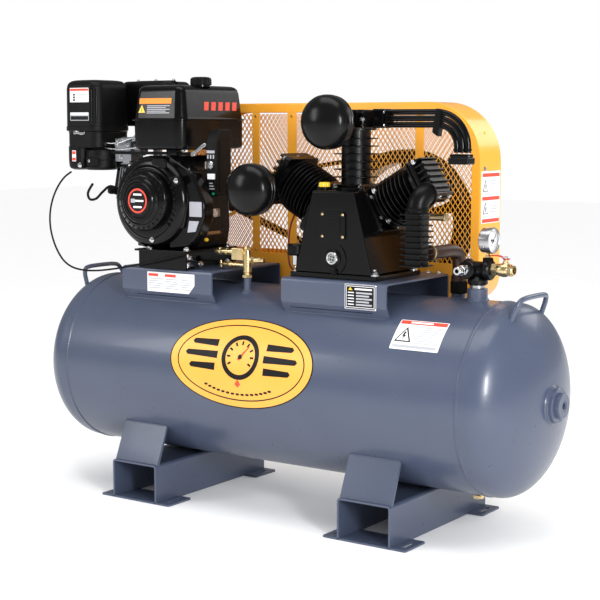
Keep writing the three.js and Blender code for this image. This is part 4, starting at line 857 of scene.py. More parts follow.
def fuel_tank():
    x0, x1, y0, y1, _, _ = span("fuel_tank")
    cap = span("fuel_cap")
    rim, top = 983, cap[4] - 0.6
    piece = Piece("petrol_tank")
    low = [(30, 905), (16, 906), (9, 909), (6, 915), (5, rim - 2.4), (1.5, rim - 2.2), (0, rim - 1),
           (0, rim + 1)]
    high = [(1.5, rim + 2.2), (5, rim + 2.4), (6.5, rim + 6), (14, top - 20), (17, top - 10), (22, top - 4.5),
            (30, top - 1.2), (44, top)]
    piece.stack(levels_of((x0, x1, y0, y1), 30, low + high), "gloss_black", 8)
    for y in (-102, 68):
        piece.box(-348, -312, y - 12, y + 12, 890.4, 906, "gloss_black", 2)
    neck = ((cap[0] + cap[1]) / 2, (cap[2] + cap[3]) / 2, top)
    piece.lathe([(18, -4), (24, -4), (24, 3), (21, 4), (18, 4), (18, -4)], neck, (0, 0, 1), "gloss_black", 40)
    lean_front = Vector((0, 8, 65)).normalized()
    front = flat((0, y0 + 7.2, rim + 6), (1, 0, 0), lean_front)
    piece.decal(front, rectangle(-407, -300, 35, 49), "label_orange", lift=1.2, thick=0.4)
    piece.decal(front, [(-409, 12), (-386, 12), (-397.5, 32)], "yellow", lift=1.2, thick=0.4)
    piece.decal(front, [(-398.6, 15), (-396.4, 15), (-397.5, 26)], "label_black", lift=1.8)
    for i in range(5):
        piece.decal(front, rectangle(-380, -304 - 13 * (i % 2), 10 + i * 4.6, 12.2 + i * 4.6), "label_grey",
                    lift=1.2)
    side = flat((x1 - 7.5, 0, rim + 6), (0, 1, 0), Vector((-8, 0, 65)).normalized())
    for i in range(5):
        a = -58 + i * 30
        piece.decal(side, [(a, 18), (a + 18, 18), (a + 23, 40), (a + 5, 40)], "label_red", lift=1.2,
                    thick=0.4)
    piece.done("fuel_tank")


def fuel_cap():
    x0, x1, y0, y1, z0, z1 = span("fuel_cap")
    piece = Piece("petrol_cap")
    h = z1 - z0
    profile = [(0, h - 5), (24, h - 5), (24, 0), (26, 0), (27, 1.5), (26.5, 15), (24.5, 18.6),
               (20, h - 0.8), (15, h), (0, h)]
    piece.lathe(profile, ((x0 + x1) / 2, (y0 + y1) / 2, z0), (0, 0, 1), "plastic_black", 96,
                ripple=lambda angle: 1.3 * max(-0.6, math.cos(8 * angle)))
    piece.done("fuel_cap")


def air_cleaner_cover():
    x0, x1, y0, y1, z0, z1 = span("air_cleaner_cover")
    piece = Piece("air_cleaner_lid")
    steps = [(4, z0), (0.8, z0 + 0.6), (0, z0 + 2), (0, z0 + 12), (1.4, z0 + 13), (1.6, z0 + 40),
             (2, z1 - 24), (3.4, z1 - 15), (7, z1 - 8), (14, z1 - 3), (24, z1 - 1), (38, z1)]
    piece.stack(levels_of((x0, x1, y0, y1), 32, steps), "plastic_black", 8)
    corner = 32
    for inward in (20, 9):
        y = y0 + 1.5 + corner - math.sqrt(corner ** 2 - (corner - inward) ** 2)
        piece.tube([(x1 - inward, y, z0 + 18), (x1 - inward, y, z1 - 24)], 2.6, "gloss_black", 16)
    front = flat((0, y0 + 1.6, 0), (1, 0, 0), (0, 0, 1))
    piece.decal(front, rounded(-651, -583, 1030, 1068, 1.5, 2), "label_white", lift=0.4)
    piece.decal(front, rectangle(-650, -584, 1060, 1066), "label_red", lift=0.8)
    for i, z in enumerate((1050, 1043, 1036)):
        piece.decal(front, rounded(-640, -632, z - 2.4, z + 2.4, 2, 3), "label_black", lift=0.8)
        piece.decal(front, rectangle(-622, -592 - 4 * i, z - 1, z + 1), "label_grey", lift=0.8)
    piece.decal(front, rounded(-651, -584, 981, 1003, 1.5, 2), "label_grey", lift=0.4)
    piece.decal(front, rectangle(-650, -585, 996, 1002), "label_white", lift=0.8)
    piece.decal(front, rectangle(-649, -586, 983, 993), "label_black", lift=0.8)
    piece.done("air_cleaner_cover")


def air_cleaner_base():
    x0, x1, y0, y1, z0, z1 = span("air_cleaner_base")
    right = x1 - 14
    piece = Piece("air_cleaner_body")
    upper = [(5, z1 - 6), (1, z1 - 5), (0, z1 - 3.5), (0, z1 - 1), (1.2, z1)]
    piece.stack(levels_of((x0, right, y0, y1), 28, [(3, 909), (1, 911), (1, z1 - 6.4), *upper[1:]]),
                "plastic_black", 7)
    body = [(14, z0 + 4), (5, z0 + 8), (2, z0 + 14), (1, z0 + 30), (1, 912)]
    piece.stack(levels_of((x0, x0 + 62, y0, y1), 24, body), "plastic_black", 6)
    piece.stack(levels_of((x0 + 20, right, y0 + 62, y1), 20, body), "plastic_black", 6)
    barrel = (x1 - 44, y0 + 47, z0)
    piece.lathe([(0, 4), (38, 4), (42, 7), (43, 12), (41.5, 14), (41.5, 30), (43, 32), (43, 38), (41.5, 40),
                 (41.5, 54), (39, 58), (0, 58)], barrel, (0, 0, 1), "plastic_black", 64)
    piece.box(x0 + 60, x1 - 20, y0 + 30, y0 + 64, 900, 914, "satin_black", 2)
    front = flat((0, y0, 0), (1, 0, 0), (0, 0, 1))
    lever = [(-641, 968), (-641, 956), (-628, 958), (-612, 955), (-602, 957), (-600, 963), (-612, 962),
             (-628, 965)]
    piece.block((0, y0 + 0.5, -12), (1, 0, 0), (0, 0, 1), lever, 0, 4, "bright", 1)
    piece.decal(front, rounded(-650, -636, 872, 901, 1, 2), "label_white", lift=0.4)
    for z in (874, 891):
        piece.decal(front, rectangle(-649, -637, z, z + 8), "label_red", lift=0.8)
    piece.drum(7, (-622, y0 + 3, 862), (0, -1, 0), 5, "satin_black", 24)
    piece.bolt((-622, y0 - 1, 862), (0, -1, 0), 9, 5)
    piece.block((barrel[0] + 8, y0 + 5, 866), (1, 0, 0), (0, 0, 1), rounded(-20, 24, -2, 14, 3), 0, 4,
                "satin_black", 1)
    piece.drum(4, (barrel[0] - 2, y0 + 4, 874), (0, -1, 0), 5, "bright", 16)
    piece.done("air_cleaner_base")


def carburettor():
    piece = Piece("carburettor_body")
    piece.box(-534, -478, -106, -52, 872, 926, "cast_grey", 4, 3)
    piece.lathe([(0, 0), (22, 0), (22, 9), (18, 12), (0, 12)], (-508, -79, 925), (0, 0, 1), "cast_grey", 40)
    piece.lathe([(0, 0), (20, 0), (24, 3), (24, 9), (0, 9)], (-506, -79, 864), (0, 0, 1), "bright", 40)
    piece.drum(17, (-534.5, -79, 905), (1, 0, 0), 82, "cast_grey", 40)
    piece.drum(22, (-544, -79, 905), (1, 0, 0), 11, "rubber_black", 40, 2)
    for x, z in ((-526, 918), (-490, 916), (-512, 884)):
        piece.bolt((x, -106, z), (0, -1, 0), 8, 5)
    piece.done("carburetor")


def governor_linkage():
    """Rods, springs and levers between the air cleaner and the throttle."""
    y = -116
    piece = Piece("governor_linkage")
    main = [(-595, y, 918), (-560, y, 921), (-514, y, 922), (-449, y, 938), (-410, y, 934), (-368, y, 920)]
    piece.tube(smooth_path(main), 2.6, "bright", 12)
    piece.tube(smooth_path([(-580, y + 3, 908), (-500, y + 3, 905), (-420, y + 3, 912),
                            (-340, y + 3, 906)]), 2, "steel", 10)
    piece.tube(smooth_path([(-368, y, 920), (-330, y - 2, 916), (-288, y - 3, 906)]), 1.8, "bright", 10)
    spring = []
    for i in range(96):
        angle = TAU * i / 8
        spring.append((-520 + i * 0.9, y + 4 * math.cos(angle), 930 + i * 0.06 + 4 * math.sin(angle)))
    piece.tube(spring, 0.9, "bright", 6)
    plate = [(-470, 926), (-440, 950), (-418, 946), (-392, 928), (-412, 920), (-440, 930)]
    piece.block((0, y + 6, 0), (1, 0, 0), (0, 0, 1), plate, -1, 1, "bright", 0.5)
    for x, z in ((-449, 938), (-368, 920), (-514, 922), (-595, 918), (-288, 906)):
        piece.drum(5, (x, y + 5, z), (0, -1, 0), 10, "bright", 16)
    arm = [(-600, 912), (-560, 908), (-556, 924), (-590, 930), (-604, 924)]
    piece.block((0, y + 3, 0), (1, 0, 0), (0, 0, 1), arm, -1.2, 1.2, "bright", 0.5)
    piece.block((0, y + 8, 0), (1, 0, 0), (0, 0, 1), rounded(-560, -262, 892, 900, 3), -1.5, 1.5,
                "satin_black", 0.6)
    piece.done("engine_head", stands_in=False)


def muffler():
    x0, x1, y0, y1, _, z1 = span("muffler")
    low = 966
    rear = y1 - 17
    piece = Piece("silencer_box")
    piece.prism(rounded(x0, x1, low, z1, 24), "Y", y0, rear, "satin_black", 4, 3)
    middle = (y0 + rear) / 2
    piece.prism(rounded(x0 - 3, x1 + 3, low - 3, z1 + 3, 26), "Y", middle - 2, middle + 2, "satin_black", 1)
    for x in (x0 + 20, (x0 + x1) / 2, x1 - 20):
        piece.bolt((x, middle, z1 + 2), (0, 0, 1), 8, 4, "steel")
    outlet = (x0 + 34, rear - 2, low + 34)
    piece.lathe([(11, 0), (14, 0), (14, 18), (11, 18), (11, 0)], outlet, (0, 1, 0), "steel", 32)
    piece.tube(smooth_path([(-520, 23.5, 816), (-520, 40, 816), (-520, 53, 832), (-520, 55, 862),
                            (-520, 55, low + 2)], 6), 13, "steel", 28)
    for i in range(7):
        z = low + 26 + i * 12
        piece.block((x1 - 66, rear + 0.2, z), (1, 0, 0), (0, 0, 1), rounded(-40, 40, -2, 2, 1.8, 3), -1.5,
                    0.6, "satin_black", 0.4)
    piece.done("muffler")


def control_box():
    x0, x1, y0, y1, z0, z1 = -215, -181, -117, -52, 787, 959
    piece = Piece("switch_box")
    side = [(y0, z0 + 10), (y0 + 8, z0), (y1, z0), (y1, z1 - 6), (y1 - 8, z1), (y0 + 20, z1), (y0, z1 - 34)]
    piece.prism(side, "X", x0, x1, "plastic_black", 4, 4)
    piece.box(-231, x0 + 1, y0 + 20, y1, 810, 840, "plastic_black", 2)
    front = flat((0, y0, 0), (1, 0, 0), (0, 0, 1))
    piece.decal(front, rounded(x0 + 4, x1 - 4, 898, 905, 1, 2), "label_silver", lift=0.2, thick=0.6)
    for i in range(3):
        piece.decal(front, rectangle(x0 + 6 + i * 9, x0 + 10 + i * 9, 884, 894), "label_grey", lift=0.2)
    piece.decal(front, rounded(-207, x1 - 3, 832, 846, 1, 2), "label_white", lift=0.2, thick=3)
    for i in range(3):
        piece.decal(front, rectangle(-203, x1 - 5 - 3 * i, 806 + i * 7, 809 + i * 7), "label_grey", lift=0.2)
    piece.decal(front, ellipse(-190, 795, 4.5, 3.4, 20), "green", lift=0.2, thick=0.6)
    piece.box(x1 - 1, x1 + 1.4, y0 + 14, y1 - 8, z0 + 12, z1 - 30, "plastic_black", 1)
    piece.done("control_box")


def key_switch():
    x0, x1, y0, y1, z0, z1 = span("key_switch")
    x, z = (x0 + x1) / 2, (z0 + z1) / 2
    piece = Piece("starter_key")
    piece.lathe([(0, 0), (10, 0), (10, 3), (8.6, 5), (5, 5), (5, 4), (0, 4)], (x, y1, z), (0, -1, 0),
                "bright", 36)
    piece.prism(rounded(x - 1.5, x + 1.5, z - 9, z + 9, 1.2, 3), "Y", y0, y1 - 3, "steel", 0.4)
    piece.done("key_switch")


def throttle_lever():
    x0, x1, y0, y1, z0, z1 = span("throttle_lever")
    piece = Piece("speed_lever")
    piece.drum(7, (x0 + 7, y1, z0 + 7), (0, -1, 0), y1 - y0, "bright", 24)
    blade = [(x0 + 2, z0 + 7), (x0 + 12, z0 + 5), (x1 - 2, z1 - 7), (x1, z1 - 2), (x1 - 4, z1),
             (x1 - 14, z1 - 2)]
    piece.prism(blade, "Y", y0 + 1, y0 + 4, "bright", 0.6)
    piece.done("throttle_lever")


# ---- Pump ----
# Lean from upright, in degrees, of each cylinder, with its fin radius, foot, deck and head along its axis.
BORES = {
    "left": dict(lean=-60, fin=68, foot=104, deck=212, head=44, half=66),
    "centre": dict(lean=0, fin=56, foot=91, deck=240, head=46, half=56),
    "right": dict(lean=60, fin=60, foot=104, deck=222, head=44, half=54),
}
FILTER_RADIUS = 65
CRANK = Vector((PUMP_X, PLANE_Y, PUMP_Z))


def bore_axes(name):
    """Outwards along a cylinder, and the direction square to it and to the crank."""
    angle = math.radians(BORES[name]["lean"])
    out = Vector((math.sin(angle), 0, math.cos(angle)))
    return out, Vector((out.z, 0, -out.x))


def across_bore(piece, name, half_y, half_t, radius, s0, s1, finish, bevel=1.5):
    """A rounded block square to a cylinder, from s0 to s1 along it."""
    _, side = bore_axes(name)
    outline = rounded(-half_t, half_t, -half_y, half_y, radius)
    piece.block(CRANK, side, (0, -1, 0), outline, -s1, -s0, finish, bevel)


def pump_crankcase():
    x0, x1, y0, y1, z0, _ = span("pump_crankcase")
    front, rear = y0 + 4, y1 - 4
    x = PUMP_X
    piece = Piece("pump_case")
    base, top = 616, 813
    body = [(x - 110, base - 3), (x + 110, base - 3), (x + 110, base + 4), (x + 60, top), (x - 60, top),
            (x - 110, base + 4)]
    piece.prism(body, "Y", front, rear, "gloss_black", 5, 4)
    piece.prism(rounded(x0, x1, y0, y1, 8, 4), "Z", z0, base - 2, "gloss_black", 2, 3)
    across_bore(piece, "left", 74, 66, 10, 60, 103.7, "gloss_black", 3)
    across_bore(piece, "right", 66, 60, 10, 60, 103.7, "gloss_black", 3)
    across_bore(piece, "right", 70, 64, 10, 94, 103.7, "gloss_black", 1.5)
    piece.prism(rounded(x - 50, x + 50, PLANE_Y - 52, PLANE_Y + 52, 10), "Z", top - 4, top - 0.3,
                "gloss_black", 1.2)
    # Raised strap down the right shoulder, the boss under the cover and the ridge beside the sight glass
    right_edge = [(x + 57, top - 2), (x + 63, top - 2), (x + 112.5, base + 6), (x + 106, base + 6)]
    piece.prism(right_edge, "Y", front - 2.5, front + 4, "gloss_black", 1.2)
    piece.prism(rounded(152, 234, 690, 770, 8), "Y", front - 0.6, front + 4, "gloss_black", 1)
    piece.lathe([(16.6, 2), (22, 2), (22, -2), (20, -3.5), (16.6, -3.5), (16.6, 2)],
                (192, front, 652), (0, 1, 0), "gloss_black", 48)
    arc = [(202 + 26 * math.cos(g), front - 1, 650 + 34 * math.sin(g)) for g in
           [math.radians(70 - i * 9) for i in range(16)]]
    piece.tube(arc, 2.2, "gloss_black", 10)
    piece.lathe([(0, 0), (10, 0), (10, 5), (7, 6), (7, 8), (0, 8)], (196, front + 1, 620), (0, -1, 0),
                "satin_black", 6)
    for bx in (x0 + 14, x1 - 14):
        for by in (y0 + 18, y1 - 18):
            piece.bolt((bx, by, base - 2), (0, 0, 1), 15, 12)
    breather = (72, front + 18, 652)
    piece.lathe([(0, 0), (18, 0), (22, 4), (22, 24), (18, 28), (0, 28)], breather, (0, 0, 1), "satin_black",
                36)
    piece.drum(9, (72, front + 18, 628), (0, 0, 1), 26, "bright", 24)
    for i in range(6):
        g = TAU * i / 6
        out, side = bore_axes("right")
        place = CRANK + out * 103.2 + side * (56 * math.cos(g)) + Vector((0, 60 * math.sin(g), 0))
        piece.bolt(place, out, 8, 3, "steel", washer=False)
    piece.lathe([(17.5, 0), (40, 0), (40, 3), (36, 6), (26, 8), (17.5, 8), (17.5, 0)],
                (x, rear - 2, PUMP_Z), (0, 1, 0), "gloss_black", 48)
    for i in range(6):
        g = TAU * i / 6
        piece.bolt((x + 50 * math.cos(g), rear - 1, PUMP_Z + 50 * math.sin(g)), (0, 1, 0), 9, 4)
    piece.done("pump_crankcase")


def pump_cover():
    x0, x1, _, y1, z0, z1 = span("pump_cover")
    piece = Piece("inspection_cover")
    piece.prism(rounded(x0, x1, z0, z1, 6), "Y", y1 - 4, y1, "gloss_black", 1.2)
    piece.prism(rounded(x0 + 14, x1 - 14, z0 + 14, z1 - 14, 6), "Y", y1 - 5.4, y1 - 3, "gloss_black", 0.8)
    for x in (x0 + 7, x1 - 7):
        for z in (z0 + 7, z1 - 7):
            piece.drum(3.6, (x, y1 - 3.6, z), (0, -1, 0), 2.6, "aged_brass", 20)
    piece.done("pump_cover")


def sight_glass():
    x0, x1, _, y1, z0, z1 = span("sight_glass")
    centre = ((x0 + x1) / 2, y1, (z0 + z1) / 2)
    piece = Piece("oil_window")
    piece.lathe([(10.5, 0), (16, 0), (16, 5), (14.5, 7), (11.5, 7), (10.5, 5.6), (10.5, 0)], centre,
                (0, -1, 0), "bright", 48)
    piece.drum(10.4, centre, (0, -1, 0), 4.4, "glass", 36)
    for i in range(4):
        g = TAU * i / 4 + 0.6
        piece.drum(2.4, (centre[0] + 5 * math.cos(g), y1 - 4, centre[2] + 5 * math.sin(g)), (0, -1, 0), 1,
                   "satin_black", 12)
    piece.done("sight_glass")


def oil_cap():
    x0, x1, y0, y1, z0, z1 = span("oil_cap")
    centre = ((x0 + x1) / 2, (y0 + y1) / 2, z0)
    h = z1 - z0
    piece = Piece("oil_filler_plug")
    piece.drum(9, centre, (0, 0, 1), 8, "satin_black", 24)
    piece.lathe([(0, 7), (11.5, 7), (13, 8), (13, h - 2), (11.5, h), (5, h), (4, h - 1.5), (0, h - 1.5)],
                centre, (0, 0, 1), "yellow", 60, ripple=lambda g: 0.5 * math.cos(20 * g))
    piece.done("oil_cap")


def pump_cylinder(name):
    b = BORES[name]
    out, side = bore_axes(name)
    count = 8 if name != "centre" else 7
    piece = Piece("finned_cylinder_" + name)
    foot, deck, fin = b["foot"] + 0.3, b["deck"], b["fin"]
    wall = fin - 20
    profile = [(wall - 8, foot), (fin - 4, foot), (fin - 4, foot + 6), (wall, foot + 8)]
    pitch = (deck - foot - 18) / count
    for i in range(count):
        s = foot + 10 + pitch * i
        reach = fin - (2 if i in (0, count - 1) else 0)
        profile += [(wall, s), (reach - 1, s + 0.6), (reach, s + 1.4), (reach, s + 2.2), (reach - 1, s + 3),
                    (wall, s + 3.8)]
    profile += [(wall, deck - 5), (fin - 6, deck - 5), (fin - 6, deck), (wall - 8, deck), (wall - 8, foot)]
    piece.lathe(profile, CRANK, out, "cast_black", 72)
    for a in (-1, 1):
        for c in (-1, 1):
            place = CRANK + side * (a * (fin - 12)) + Vector((0, c * (fin - 12), 0)) + out * (foot + 5)
            piece.bolt(place - (place - CRANK - out * (foot + 5)) * 0.18, out, 11, 7, "steel")
    piece.done("cylinder_" + name)


def pump_head(name):
    b = BORES[name]
    out, side = bore_axes(name)
    start, half = b["deck"] + 0.3, b["half"]
    piece = Piece("ribbed_head_" + name)
    across_bore(piece, name, half, half, 10, start, start + 5, "gloss_black", 1)
    across_bore(piece, name, half - 2, half - 2, 9, start + 6.5, start + 18, "gloss_black", 1.5)
    across_bore(piece, name, half - 8, half - 8, 9, start + 4, start + 7, "gloss_black", 0.5)
    across_bore(piece, name, half - 18, half - 12, 6, start + 16, start + b["head"] - 9, "cast_black", 2)
    ribs = 7
    for i in range(ribs):
        t = (i / (ribs - 1) - 0.5) * (2 * half - 16)
        place = CRANK + side * t + out * (start + 15)
        length, height = half - 5, b["head"] - 17 - (3 if i in (0, ribs - 1) else 0)
        outline = [(-length, 0), (length, 0), (length, height - 6), (length - 8, height),
                   (-length + 8, height), (-length, height - 6)]
        piece.block(place, (0, 1, 0), out, outline, -1.9, 1.9, "cast_black", 0.9)
    for a in (-1, 1):
        for c in (-1, 0, 1):
            place = CRANK + side * (a * (half - 9)) + Vector((0, c * (half - 9), 0)) + out * (start + 18)
            piece.bolt(place, out, 10, 6, "steel")
    piece.done("head_" + name)


def filter_body(piece, x, z, neck):
    _, _, y0, _, _, _ = span("filter_centre")
    profile = [(0, 0), (10, 0.4), (22, 2), (34, 4.8), (45, 9), (54, 15), (60.5, 22), (64, 31), (65, 40),
               (65, 43), (63.6, 44.5), (65, 46), (65, 52), (62, 54), (62, 57), (63.5, 58.5), (63.5, 64),
               (61, 67), (19, 67), (19, 67 + neck), (0, 67 + neck)]
    piece.lathe(profile, (x, y0, z), (0, 1, 0), "plastic_gloss", 96)


def air_filters():
    centre, left = span("filter_centre"), span("filter_left")
    piece = Piece("intake_filter_centre")
    filter_body(piece, (centre[0] + centre[1]) / 2, (centre[4] + centre[5]) / 2, centre[3] - centre[2] - 67)
    piece.done("filter_centre")
    piece = Piece("intake_filter_left")
    x, z = left[0] + FILTER_RADIUS, left[4] + FILTER_RADIUS
    filter_body(piece, x, z, 12)
    piece.prism(rounded(-62, -4, 812, 852, 12), "Y", left[2] + 66, left[3], "satin_black", 3)
    piece.done("filter_left")


def intercooler():
    x0, x1, _, _, _, _ = span("intercooler")
    y = TANK_Y - 12
    piece = Piece("intercooler_tubes")
    top, inner, lower_end = 985, 466, 905
    pitch, radius, inner_bend = 15, 7, 52
    for i in range(3):
        z, x, bend = top + (i - 1) * pitch, inner + i * pitch, inner_bend + i * pitch
        path = [(272 + k * 6, y, z) for k in range(3)] + [(x - bend - 6, y, z)]
        path += [(x - bend + bend * math.sin(k / 12 * math.pi / 2), y,
                  z - bend + bend * math.cos(k / 12 * math.pi / 2)) for k in range(13)]
        path += [(x, y, z - bend - 8), (x, y, lower_end)]
        piece.tube(path, radius, "gloss_black", 24)
        piece.hoop(7.2, 2.2, (x, y, 912), (0, 0, 1), "satin_black", 24)
    piece.prism(rounded(y - 22, y + 20, 962, 1008, 5), "X", x0, 277, "gloss_black", 2)
    piece.prism(rounded(y - 19, y + 19, 966, 1004, 5), "X", 279, 284, "gloss_black", 1)
    for z in (970, 1000):
        for side in (-1, 1):
            piece.bolt((277, y + side * 13, z), (1, 0, 0), 8, 4, "bright")
    piece.box(452, x1 + 9, y - 18, y + 18, 878, 894, "cast_black", 3, 3)
    piece.box(455, x1 + 6, y - 15, y + 15, 894, 902, "gloss_black", 2)
    for x in (459, x1 + 2):
        piece.bolt((x, y - 8, 896), (0, 0, 1), 8, 5, "bright")
    clamp = [(404, 952), (420, 942), (430, 1004), (414, 1008)]
    piece.prism([(a, b) for a, b in clamp], "Y", y - 10, y + 10, "satin_black", 1.5)
    piece.done("intercooler")


def aftercooler():
    _, _, _, _, z0, _ = span("aftercooler")
    x, y = 412, TANK_Y - 100
    piece = Piece("aftercooler_fins")
    half_body, half_fin, fins, pitch, sheet = 22, 32, 10, 13.3, 3.4
    piece.box(x - half_body, x + half_body, y - 20, y + 20, z0 + 1, z0 + 132, "cast_black", 5)
    for i in range(fins):
        z = z0 + 3 + i * pitch
        grow = 1 + 1.5 * (i > 6)
        outline = rounded(x - half_fin - grow, x + half_fin - grow, y - 31, y + 30, 9, 4)
        piece.prism(outline, "Z", z, z + sheet, "gloss_black", 1)
    neck = [(x + 1, y, z0 + 128), (x + 1, y, z0 + 140), (x + 2.5, y + 3, z0 + 152), (x + 6, y + 10, z0 + 163),
            (x + 9, y + 20, z0 + 169), (x + 11, y + 31, z0 + 171)]
    path = smooth_path(neck, 5)
    piece.tube(path, 25, "satin_black", 48)
    piece.hoop(26, 3, (x + 1, y, z0 + 136), (0, 0, 1), "satin_black", 64)
    piece.hoop(26, 2.5, path[-2], path[-1] - path[-3], "satin_black", 64)
    piece.done("aftercooler")


def discharge_pipe():
    _, _, _, _, z0, _ = span("discharge_pipe")
    piece = Piece("discharge_line")
    x, y = 438, TANK_Y + 58
    level = [(424, TANK_Y - 67.6, 672), (424, TANK_Y - 55, 672), (430, TANK_Y - 20, 672),
             (436, TANK_Y + 30, 671)]
    piece.tube(smooth_path([*level, (x, TANK_Y + 51, 662), (x, y, 640), (x, y, 600)], 7), 16, "bronze_tube",
               32)
    piece.hoop(16.5, 2.5, (425, TANK_Y - 60, 672), (0, 1, 0), "aged_brass", 40)
    piece.lathe([(0, 0), (23, 0), (23, 26), (20, 30), (0, 30)], (x, y, z0), (0, 0, 1), "satin_black", 6)
    piece.lathe([(0, 28), (19, 28), (19, 40), (16, 45), (0, 45)], (x, y, z0), (0, 0, 1), "bronze_tube", 40)
    piece.done("discharge_pipe")


def pump_fittings():
    """The short suction stub and the thin unloader pipe."""
    piece = Piece("suction_stub")
    piece.tube([(392, -20, 752), (434, -20, 752)], 8.5, "aged_brass", 28)
    piece.hoop(8.8, 2, (431, -20, 752), (1, 0, 0), "brass", 32)
    piece.tube(smooth_path([(30, -70, 748), (26, -82, 720), (24, -88, 680), (24, -88, 640), (30, -86, 616),
                            (46, -80, 607), (62, -74, 606)], 7), 2.3, "wire_red", 12)
    piece.done("pump_crankcase", stands_in=False)


# ---- Belt drive ----
def flywheel():
    _, _, y0, y1, _, _ = span("flywheel")
    w = y1 - y0 - 8
    y0 += 8
    piece = Piece("pump_flywheel")
    profile = [(151, 0), (183, 0), (185, 2), (185, 6), (172.5, 9), (172.5, 24), (184, 26.2), (184, 27.8),
               (172.5, 30), (172.5, 45), (185, 48), (185, w - 2), (183, w), (151, w), (151, 0)]
    piece.lathe(profile, (PUMP_X, y0, PUMP_Z), (0, 1, 0), "cast_black", 144)
    piece.lathe([(16.3, -8), (36, -8), (36, w - 2), (33, w), (16.3, w), (16.3, -8)], (PUMP_X, y0, PUMP_Z),
                (0, 1, 0), "cast_black", 48)
    for i in range(5):
        angle = TAU * i / 5 + 0.3
        d, t = Vector((math.cos(angle), 0, math.sin(angle))), Vector((-math.sin(angle), 0, math.cos(angle)))
        rings = []
        for reach, half, thick in ((30, 20, 11), (60, 15, 9), (110, 12, 8), (156, 18, 10)):
            centre = Vector((PUMP_X, y0 + w / 2, PUMP_Z)) + d * reach
            rings.append([centre + t * a + Vector((0, b, 0)) for a,
                          b in rounded(-half, half, -thick, thick, 6)])
        piece.skin(rings, "cast_black")
    piece.done("flywheel")


def engine_pulley():
    _, _, y0, y1, _, _ = span("engine_pulley")
    w = y1 - y0
    piece = Piece("drive_pulley")
    profile = [(14.3, 0), (46, 0), (48, 2), (48, 6), (34.8, 9), (34.8, 24), (46, 26.2), (46, 27.8),
               (34.8, 30), (34.8, 45), (48, 48), (48, w - 2), (46, w), (30, w), (28, w - 4), (14.3, w - 4),
               (14.3, 0)]
    piece.lathe(profile, (ENGINE_X, y0, ENGINE_Z), (0, 1, 0), "cast_black", 96)
    piece.bolt((ENGINE_X, y1 - 3, ENGINE_Z), (0, 1, 0), 17, 6, "bright")
    piece.done("engine_pulley")


def drive_belts():
    _, _, y0, _, _, _ = span("drive_belts")
    small, big = 36.3, 174
    dx, dz = PUMP_X - ENGINE_X, PUMP_Z - ENGINE_Z
    heading = math.atan2(dz, dx)
    wrap = math.pi / 2 + math.asin((big - small) / math.hypot(dx, dz))
    loop = []
    for cx, cz, radius, start, sweep, steps in (
        (PUMP_X, PUMP_Z, big, heading - wrap, 2 * wrap, 72),
        (ENGINE_X, ENGINE_Z, small, heading + wrap, TAU - 2 * wrap, 28),
    ):
        for i in range(steps + 1):
            angle = start + sweep * i / steps
            loop.append((cx, cz, radius, angle))
    piece = Piece("v_belts")
    for offset in (3, 24):
        rings = []
        for cx, cz, radius, angle in loop:
            section = [(0, 3), (0, 14), (7.6, 16.4), (9.6, 16.2), (9.6, 0.8), (7.6, 0.6)]
            rings.append([Vector((cx + (radius + h) * math.cos(angle), y0 + offset + a,
                                  cz + (radius + h) * math.sin(angle))) for h, a in section])
        piece.skin(rings, "rubber_black", loop=True)
    piece.done("drive_belts")


# ---- Belt guard ----
BAND = span("guard_band")
EDGE, MESH_LOW, CORNER, LOW_CORNER = 24, 625, 150, 60
POSTS = [(-260, -237), (-144, -115), (250, 274)]


def guard_outline(inset, steps=12):
    low, high = LOW_CORNER - inset, CORNER - inset
    return rounded(BAND[0] + inset, BAND[1] - inset, BAND[4] + inset, BAND[5] - inset,
                   [low, low, high, high], steps)


def window_top(x):
    """Height of the mesh window's upper edge at x."""
    radius = CORNER - EDGE
    into = max(BAND[0] + EDGE + radius - x, x - (BAND[1] - EDGE - radius), 0)
    return BAND[5] - EDGE - radius + math.sqrt(max(0, radius**2 - into**2))


def guard_mesh(piece, y, holes):
    """Expanded metal: upright strands bent to and fro, each meeting its neighbour at every bend."""
    column, rise = 7, 10
    half_wire, thick = 0.95, 0.6
    x = BAND[0] + EDGE - 5
    index = 0
    while x < BAND[1] - EDGE + 5:
        high = window_top(x) + 5
        run = []
        for k in range(int((high - MESH_LOW + 6) / rise) + 1):
            z = MESH_LOW - 6 + k * rise
            bend = 3.1 if (k + index) % 2 else -3.1
            point = (x + bend, z)
            if any(math.hypot(point[0] - hx, z - hz) < r for hx, hz, r in holes):
                mesh_strand(piece, run, y, half_wire, thick)
                run = []
            else:
                run.append(point)
        mesh_strand(piece, run, y, half_wire, thick)
        x += column
        index += 1


def mesh_strand(piece, run, y, half_wire, thick):
    if len(run) < 2:
        return
    rings = []
    for x, z in run:
        rings.append([Vector((x + a, y + b, z)) for a, b in (
            (-half_wire, -thick), (half_wire, -thick), (half_wire, thick), (-half_wire, thick))])
    piece.skin(rings, "mesh_amber")


def guard_face(node, name, y0, y1, holes):
    piece = Piece(name)
    high = CORNER - EDGE
    window = rounded(BAND[0] + EDGE, BAND[1] - EDGE, MESH_LOW, BAND[5] - EDGE, [8, 8, high, high], 10)
    piece.plate([guard_outline(2.3), window], "Y", y0, y1, "amber", 0.5)
    for a, b in POSTS if holes else []:
        top = min(window_top(a), window_top(b)) + 6
        piece.box(a, b, y0 + 0.2, y1 - 0.2, MESH_LOW - 4, top, "amber", 0.5)
        for z in (MESH_LOW + 6, top - 16):
            piece.drum(3.4, ((a + b) / 2, y0 + 0.4, z), (0, -1, 0), 1.6, "aged_brass", 16)
    middle = (y0 + y1) / 2
    for hx, hz, r in holes:
        piece.plate([ellipse(hx, hz, r + 10, r + 10, 64), ellipse(hx, hz, r, r, 64)], "Y", y0 + 0.2,
                    y1 - 0.2, "amber", 0.5)
    guard_mesh(piece, middle, holes)
    piece.done(node)


